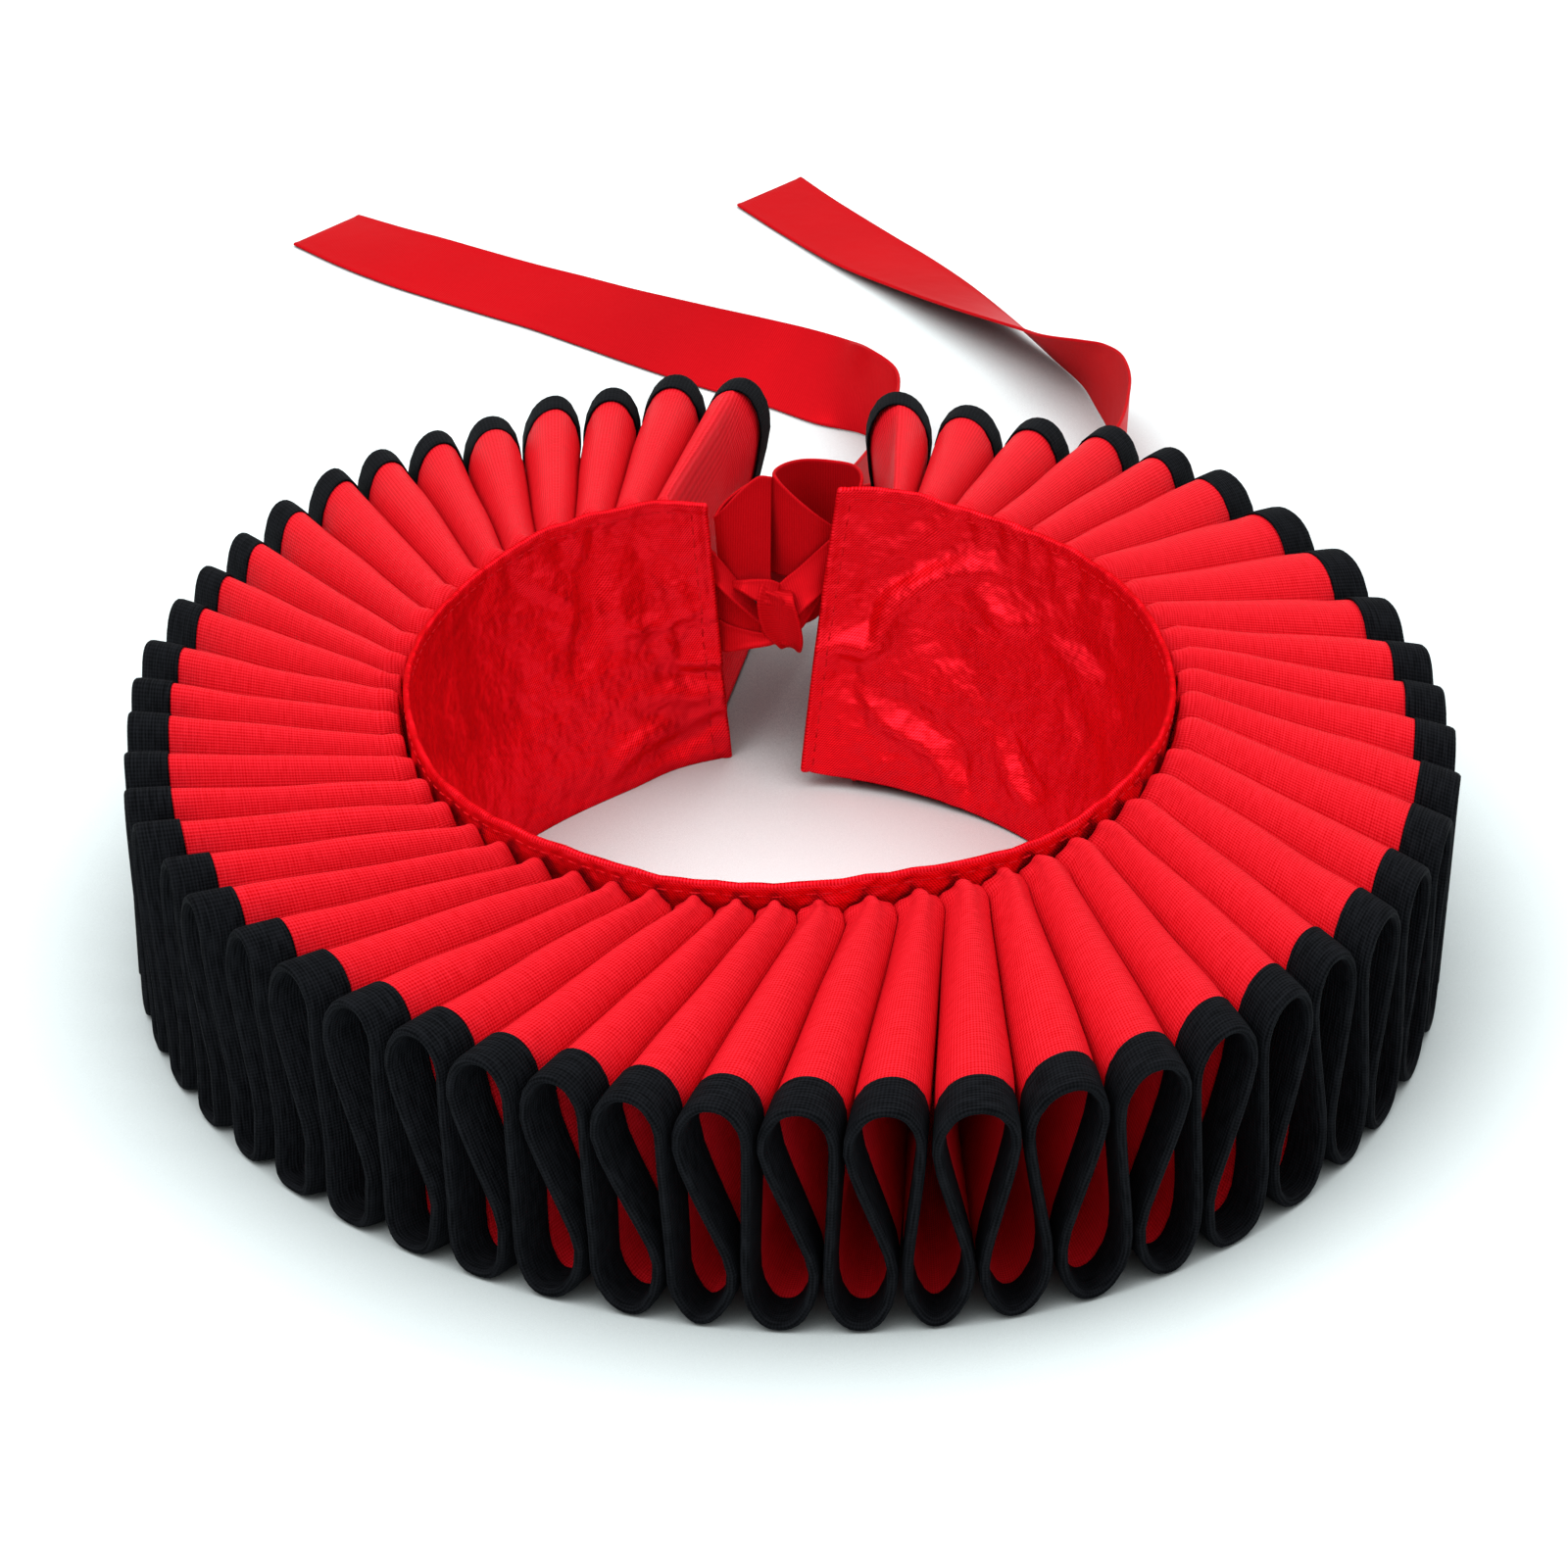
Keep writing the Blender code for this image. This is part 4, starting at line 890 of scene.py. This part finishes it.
# The strips of the bow: both leads with their folds, the rolled knot with what wraps
# it, and the two loops behind the band's ends
bowStrips = {
    "leadLeftBack": (
        (-15.2, 65.4, 27, -15.2, 65.4, 43.8), (-12, 63.8, 27.4, -12, 65, 39.9),
        (-9.2, 62.8, 27.6, -9.2, 64.5, 36.1), (-6.6, 62.2, 27.4, -6.4, 63.4, 32.9),
        (-4.2, 61.4, 27.2, -4.4, 62, 30.5)),
    "leadLeftFront": (
        (-15.2, 64.9, 38.8, -15.2, 65, 44.7), (-12.4, 61.4, 37.1, -12, 64.3, 40.5),
        (-9.2, 60.4, 34.3, -9.2, 63.8, 36.8), (-6.2, 60, 31.7, -6.4, 62.8, 33.4),
        (-4.2, 59.8, 30.3, -4.4, 61.4, 31)),
    "leadLeftLow": (
        (-14.8, 64.4, 23.2, -14.8, 64.6, 29.8), (-11.5, 61.6, 23.9, -11.8, 63.2, 28.7),
        (-8.2, 60.3, 25.2, -8.3, 62.2, 28), (-4.2, 59.6, 26.3, -4.4, 60.8, 28),
        (-1.6, 59.5, 27.2, -1.6, 60.5, 28.8)),
    "leadRight": (
        (-1.8, 60, 32.8, -4, 61.6, 34.9), (-0.8, 59.9, 33.6, -3, 62.7, 35.8),
        (1.4, 59.8, 32.7, -0.8, 64, 37.7), (3.6, 60.4, 34.5, 1.9, 64.9, 39.7),
        (5.6, 61.8, 35.8, 4.7, 65.4, 42.3), (8.5, 64.9, 37.2, 8.5, 65.6, 46.2)),
    "leadRightFold": (
        (0.6, 60.5, 29, 0.6, 60.6, 31.2), (2, 60.8, 29, 1.6, 60.9, 32),
        (3.6, 61.4, 31, 3.2, 61.4, 34), (6.2, 63, 35, 5.8, 63, 36.2)),
    "knotRoll": (
        (-5.3, 61.8, 29, -5.2, 61.8, 37.2), (-4.4, 60.2, 28.4, -4.2, 60.2, 37.4),
        (-2, 59.3, 27.2, -1.8, 59.4, 36.6), (0.4, 59.9, 26.2, 0, 60, 34.4),
        (1.5, 61.4, 26.2, 0.9, 61.4, 34), (0.6, 63, 26.6, 0.2, 63, 35),
        (-2, 63.8, 27.4, -2, 63.8, 36.8), (-4.6, 63.2, 28.6, -4.4, 63.2, 37.2)),
    "knotWrap": (
        (0.4, 63, 36, -4.6, 63, 37.6, 0.2), (0.6, 60.6, 36.4, -5, 60.8, 38.4, 0.5),
        (1, 58.8, 34.8, -5.6, 58.9, 36.2, 0.9), (1.9, 58.2, 31.6, -5.3, 58.2, 32.8, 1.2),
        (2.4, 58.2, 28.4, -4.2, 58.2, 29.4, 1.2), (2.3, 58.9, 25.9, -2.2, 58.9, 26.9, 0.9),
        (1.9, 60.6, 24.4, -1.2, 60.6, 25.2, 0.5), (1.4, 62.8, 25, -1, 62.8, 25.6, 0.2)),
    "knotOver": (
        (-10.4, 62.6, 37.2, -10.2, 63, 38), (-8.6, 60.8, 37.2, -8.2, 62.2, 38.6),
        (-6.4, 59.8, 36.2, -6.4, 61.9, 38.9), (-4.4, 59.3, 35.7, -3.6, 61.7, 38.9),
        (-2.6, 59.6, 34.8, -1.8, 61.9, 38.1)),
    "loopLeft": (
        (-3.6, 65, 37.2, -3.4, 70.4, 56.2), (-6, 64.8, 37.2, -5.8, 69.6, 56.6),
        (-9.5, 64.8, 37.2, -9, 68.4, 54.4), (-12.2, 65.8, 37.6, -12.6, 67.4, 50.6),
        (-13, 68.4, 37.6, -13.8, 69, 48.6), (-11.6, 71.2, 37.6, -12, 71.8, 50.2),
        (-8.4, 72.6, 37.2, -8.6, 73.6, 52.4), (-5.2, 73.2, 37.2, -5.4, 74.6, 53.4),
        (-2.7, 73.6, 37.2, -2.7, 75.2, 53.6)),
    "loopRight": (
        (8.9, 66.9, 37.6, 8.8, 67.6, 46.8), (4.6, 66.4, 37.2, 4.5, 67.2, 50.5),
        (0.8, 66.8, 37.2, 0.7, 68.2, 53.6), (-2.4, 68.4, 37.2, -2.2, 69.8, 56.2),
        (-3, 71.2, 37.2, -2.6, 72.2, 56.6), (-0.6, 75, 37.2, -0.4, 76, 56.2),
        (3.2, 78.4, 37.2, 3.2, 79.4, 55.2), (8.2, 79.2, 37.2, 8.2, 80, 54.6),
        (12.4, 76.4, 37.6, 12.4, 77, 55.2), (13.7, 72, 37.6, 13.8, 72.2, 55.4),
        (12.8, 69, 37.6, 12.9, 69, 53)),
}


def ribbonPart(table):
    # a closed strip of ribbon, a little thicker along both woven edges, and its length
    rows = smoothRows(table, ribbon["steps"]) * mm
    low, high = rows[:, :3], rows[:, 3:6]
    for edge in (low, high):
        edge[:, 2] = np.maximum(edge[:, 2], ribbon["halfWall"] * 2)
    shares = (0.5 - 0.5 * np.cos(np.linspace(0, math.pi, ribbon["across"])))[:, None]
    grid = mix(low, high, shares[..., None])
    if rows.shape[1] > 6:
        grid = grid + gridNormals(grid) * (np.sin(math.pi * shares) * rows[:, 6])[..., None]
    width = np.linalg.norm(high - low, axis=1)
    fromEdge = np.minimum(shares, 1 - shares) * width / ribbon["selvedge"]
    wall = ribbon["halfWall"] * (1 + ribbon["selvedgeGain"] * (1 - softStep(0.4, 1.0, fromEdge)))
    along = lengthAlong(grid[ribbon["across"] // 2])
    return shellPart(grid, wall, clothPlaces(along, width * shares)), along[-1]


def ribbonTail(name, table, node):
    part, length = ribbonPart(table)
    piece = meshPiece(name, *part, finishes["ribbonSatin"])
    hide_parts(node)
    print("%s: %.3f m of ribbon" % (name, length))


ribbonTail("tailLeft", tailLeft, "tie_tail_left")
ribbonTail("tailRight", tailRight, "tie_tail_right")

bowParts = [ribbonPart(table)[0] for table in bowStrips.values()]
bowPiece = meshPiece("ribbonBow", *joinParts(bowParts), finishes["ribbonSatin"])
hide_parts("tie_lead_left", "tie_lead_right", "bow_loop_left", "bow_loop_right",
            "bow_knot")
print("bow: half its surface is %.5f m2" % (surfaceArea(bowPiece) / 2))

for cutPiece, cut, way, sewn in ((frillPiece, (0.055, 5.4), "gathered", ()),
                                 (bindingPiece, (0.017, 5.4), "folded", (bindingThread,))):
    print("%s: half its surface is %.4f m2" % (cutPiece.name, surfaceArea(cutPiece) / 2))
print("ribbon tie made")


studio = {
    "floorColour": (0.80, 0.885, 0.89), "floorSize": 8.0,
    # painted shade: ambient occlusion darkens the floor's colour where cloth shuts the light out
    "paintedShadeReach": 75 * mm, "paintedShadeGain": 1.08, "paintedShadeDepth": 0.16,
    "skyLow": 0.74, "skyHigh": 1.40,  # brightness at the horizon and overhead
    "lamps": (  # place, aim, size, watts
        ((0.9, 0.5, 1.5), (0.0, -0.1, 0.0), 1.2, 7.0),
        ((-0.8, -0.6, 1.6), (0.0, -0.1, 0.0), 1.2, 14.0),
    ),
    "lens": 130.37, "sensor": 36.0,
    "cameraPlace": (-0.00085, -0.97071, 0.56011), "cameraPitch": 58.772,
}


def aimedTurn(place, target):
    away = np.array(place) - np.array(target)
    tilt = math.atan2(math.hypot(away[0], away[1]), away[2])
    return tilt, 0.0, math.atan2(away[0], -away[1])


def buildFloor():
    bpy.ops.mesh.primitive_plane_add(size=studio["floorSize"], location=(0, 0, 0))
    floor = bpy.context.active_object
    floor.name = "studioFloor"
    material = bpy.data.materials.new("studioFloor")
    material.use_nodes = True
    tree = material.node_tree
    # painted shade: the floor's colour is darkened by ambient occlusion near the cloth
    paintedShadeNode = addNode(tree, "ShaderNodeAmbientOcclusion", {"Distance": studio["paintedShadeReach"]})
    paintedShadeNode.samples = 4
    paintedShadeFactor = mathNode(tree, "MULTIPLY_ADD", paintedShadeNode.outputs["AO"], studio["paintedShadeGain"],
                      studio["paintedShadeDepth"])
    setInputs(tree, tree.nodes["Principled BSDF"], {
        "Base Color": colourMix(tree, "MULTIPLY", 1.0, (*studio["floorColour"], 1.0),
                                mathNode(tree, "MINIMUM", paintedShadeFactor, 1.0)),
        "Roughness": 0.9, "Specular IOR Level": 0.2})
    floor.data.materials.append(material)


def buildSky():
    world = bpy.data.worlds.new("studioSky")
    world.use_nodes = True
    tree = world.node_tree
    place = tree.nodes.new("ShaderNodeTexCoord").outputs["Generated"]
    parts = addNode(tree, "ShaderNodeSeparateXYZ", {0: place})
    height = mathNode(tree, "MAXIMUM", parts.outputs["Z"], 0.0)
    low, high = studio["skyLow"], studio["skyHigh"]
    setInputs(tree, tree.nodes["Background"], {
        "Color": (1.0, 1.0, 1.0, 1.0),
        "Strength": mathNode(tree, "MULTIPLY_ADD", height, high - low, low)})
    bpy.context.scene.world = world


def buildStudio():
    buildFloor()
    buildSky()
    scene = bpy.context.scene
    for number, (place, target, size, watts) in enumerate(studio["lamps"], start=1):
        light = bpy.data.lights.new("softbox%d" % number, "AREA")
        light.size = size
        light.energy = watts
        lamp = bpy.data.objects.new(light.name, light)
        lamp.location = place
        lamp.rotation_euler = aimedTurn(place, target)
        scene.collection.objects.link(lamp)
    lens = bpy.data.cameras.new("studioCamera")
    lens.lens = studio["lens"]
    lens.sensor_width = studio["sensor"]
    camera = bpy.data.objects.new("studioCamera", lens)
    camera.location = studio["cameraPlace"]
    camera.rotation_euler = (math.radians(studio["cameraPitch"]), 0.0, 0.0)
    scene.collection.objects.link(camera)
    scene.camera = camera
    scene.view_settings.view_transform = "Standard"
    scene.view_settings.look = "None"


buildStudio()
print("studio made")
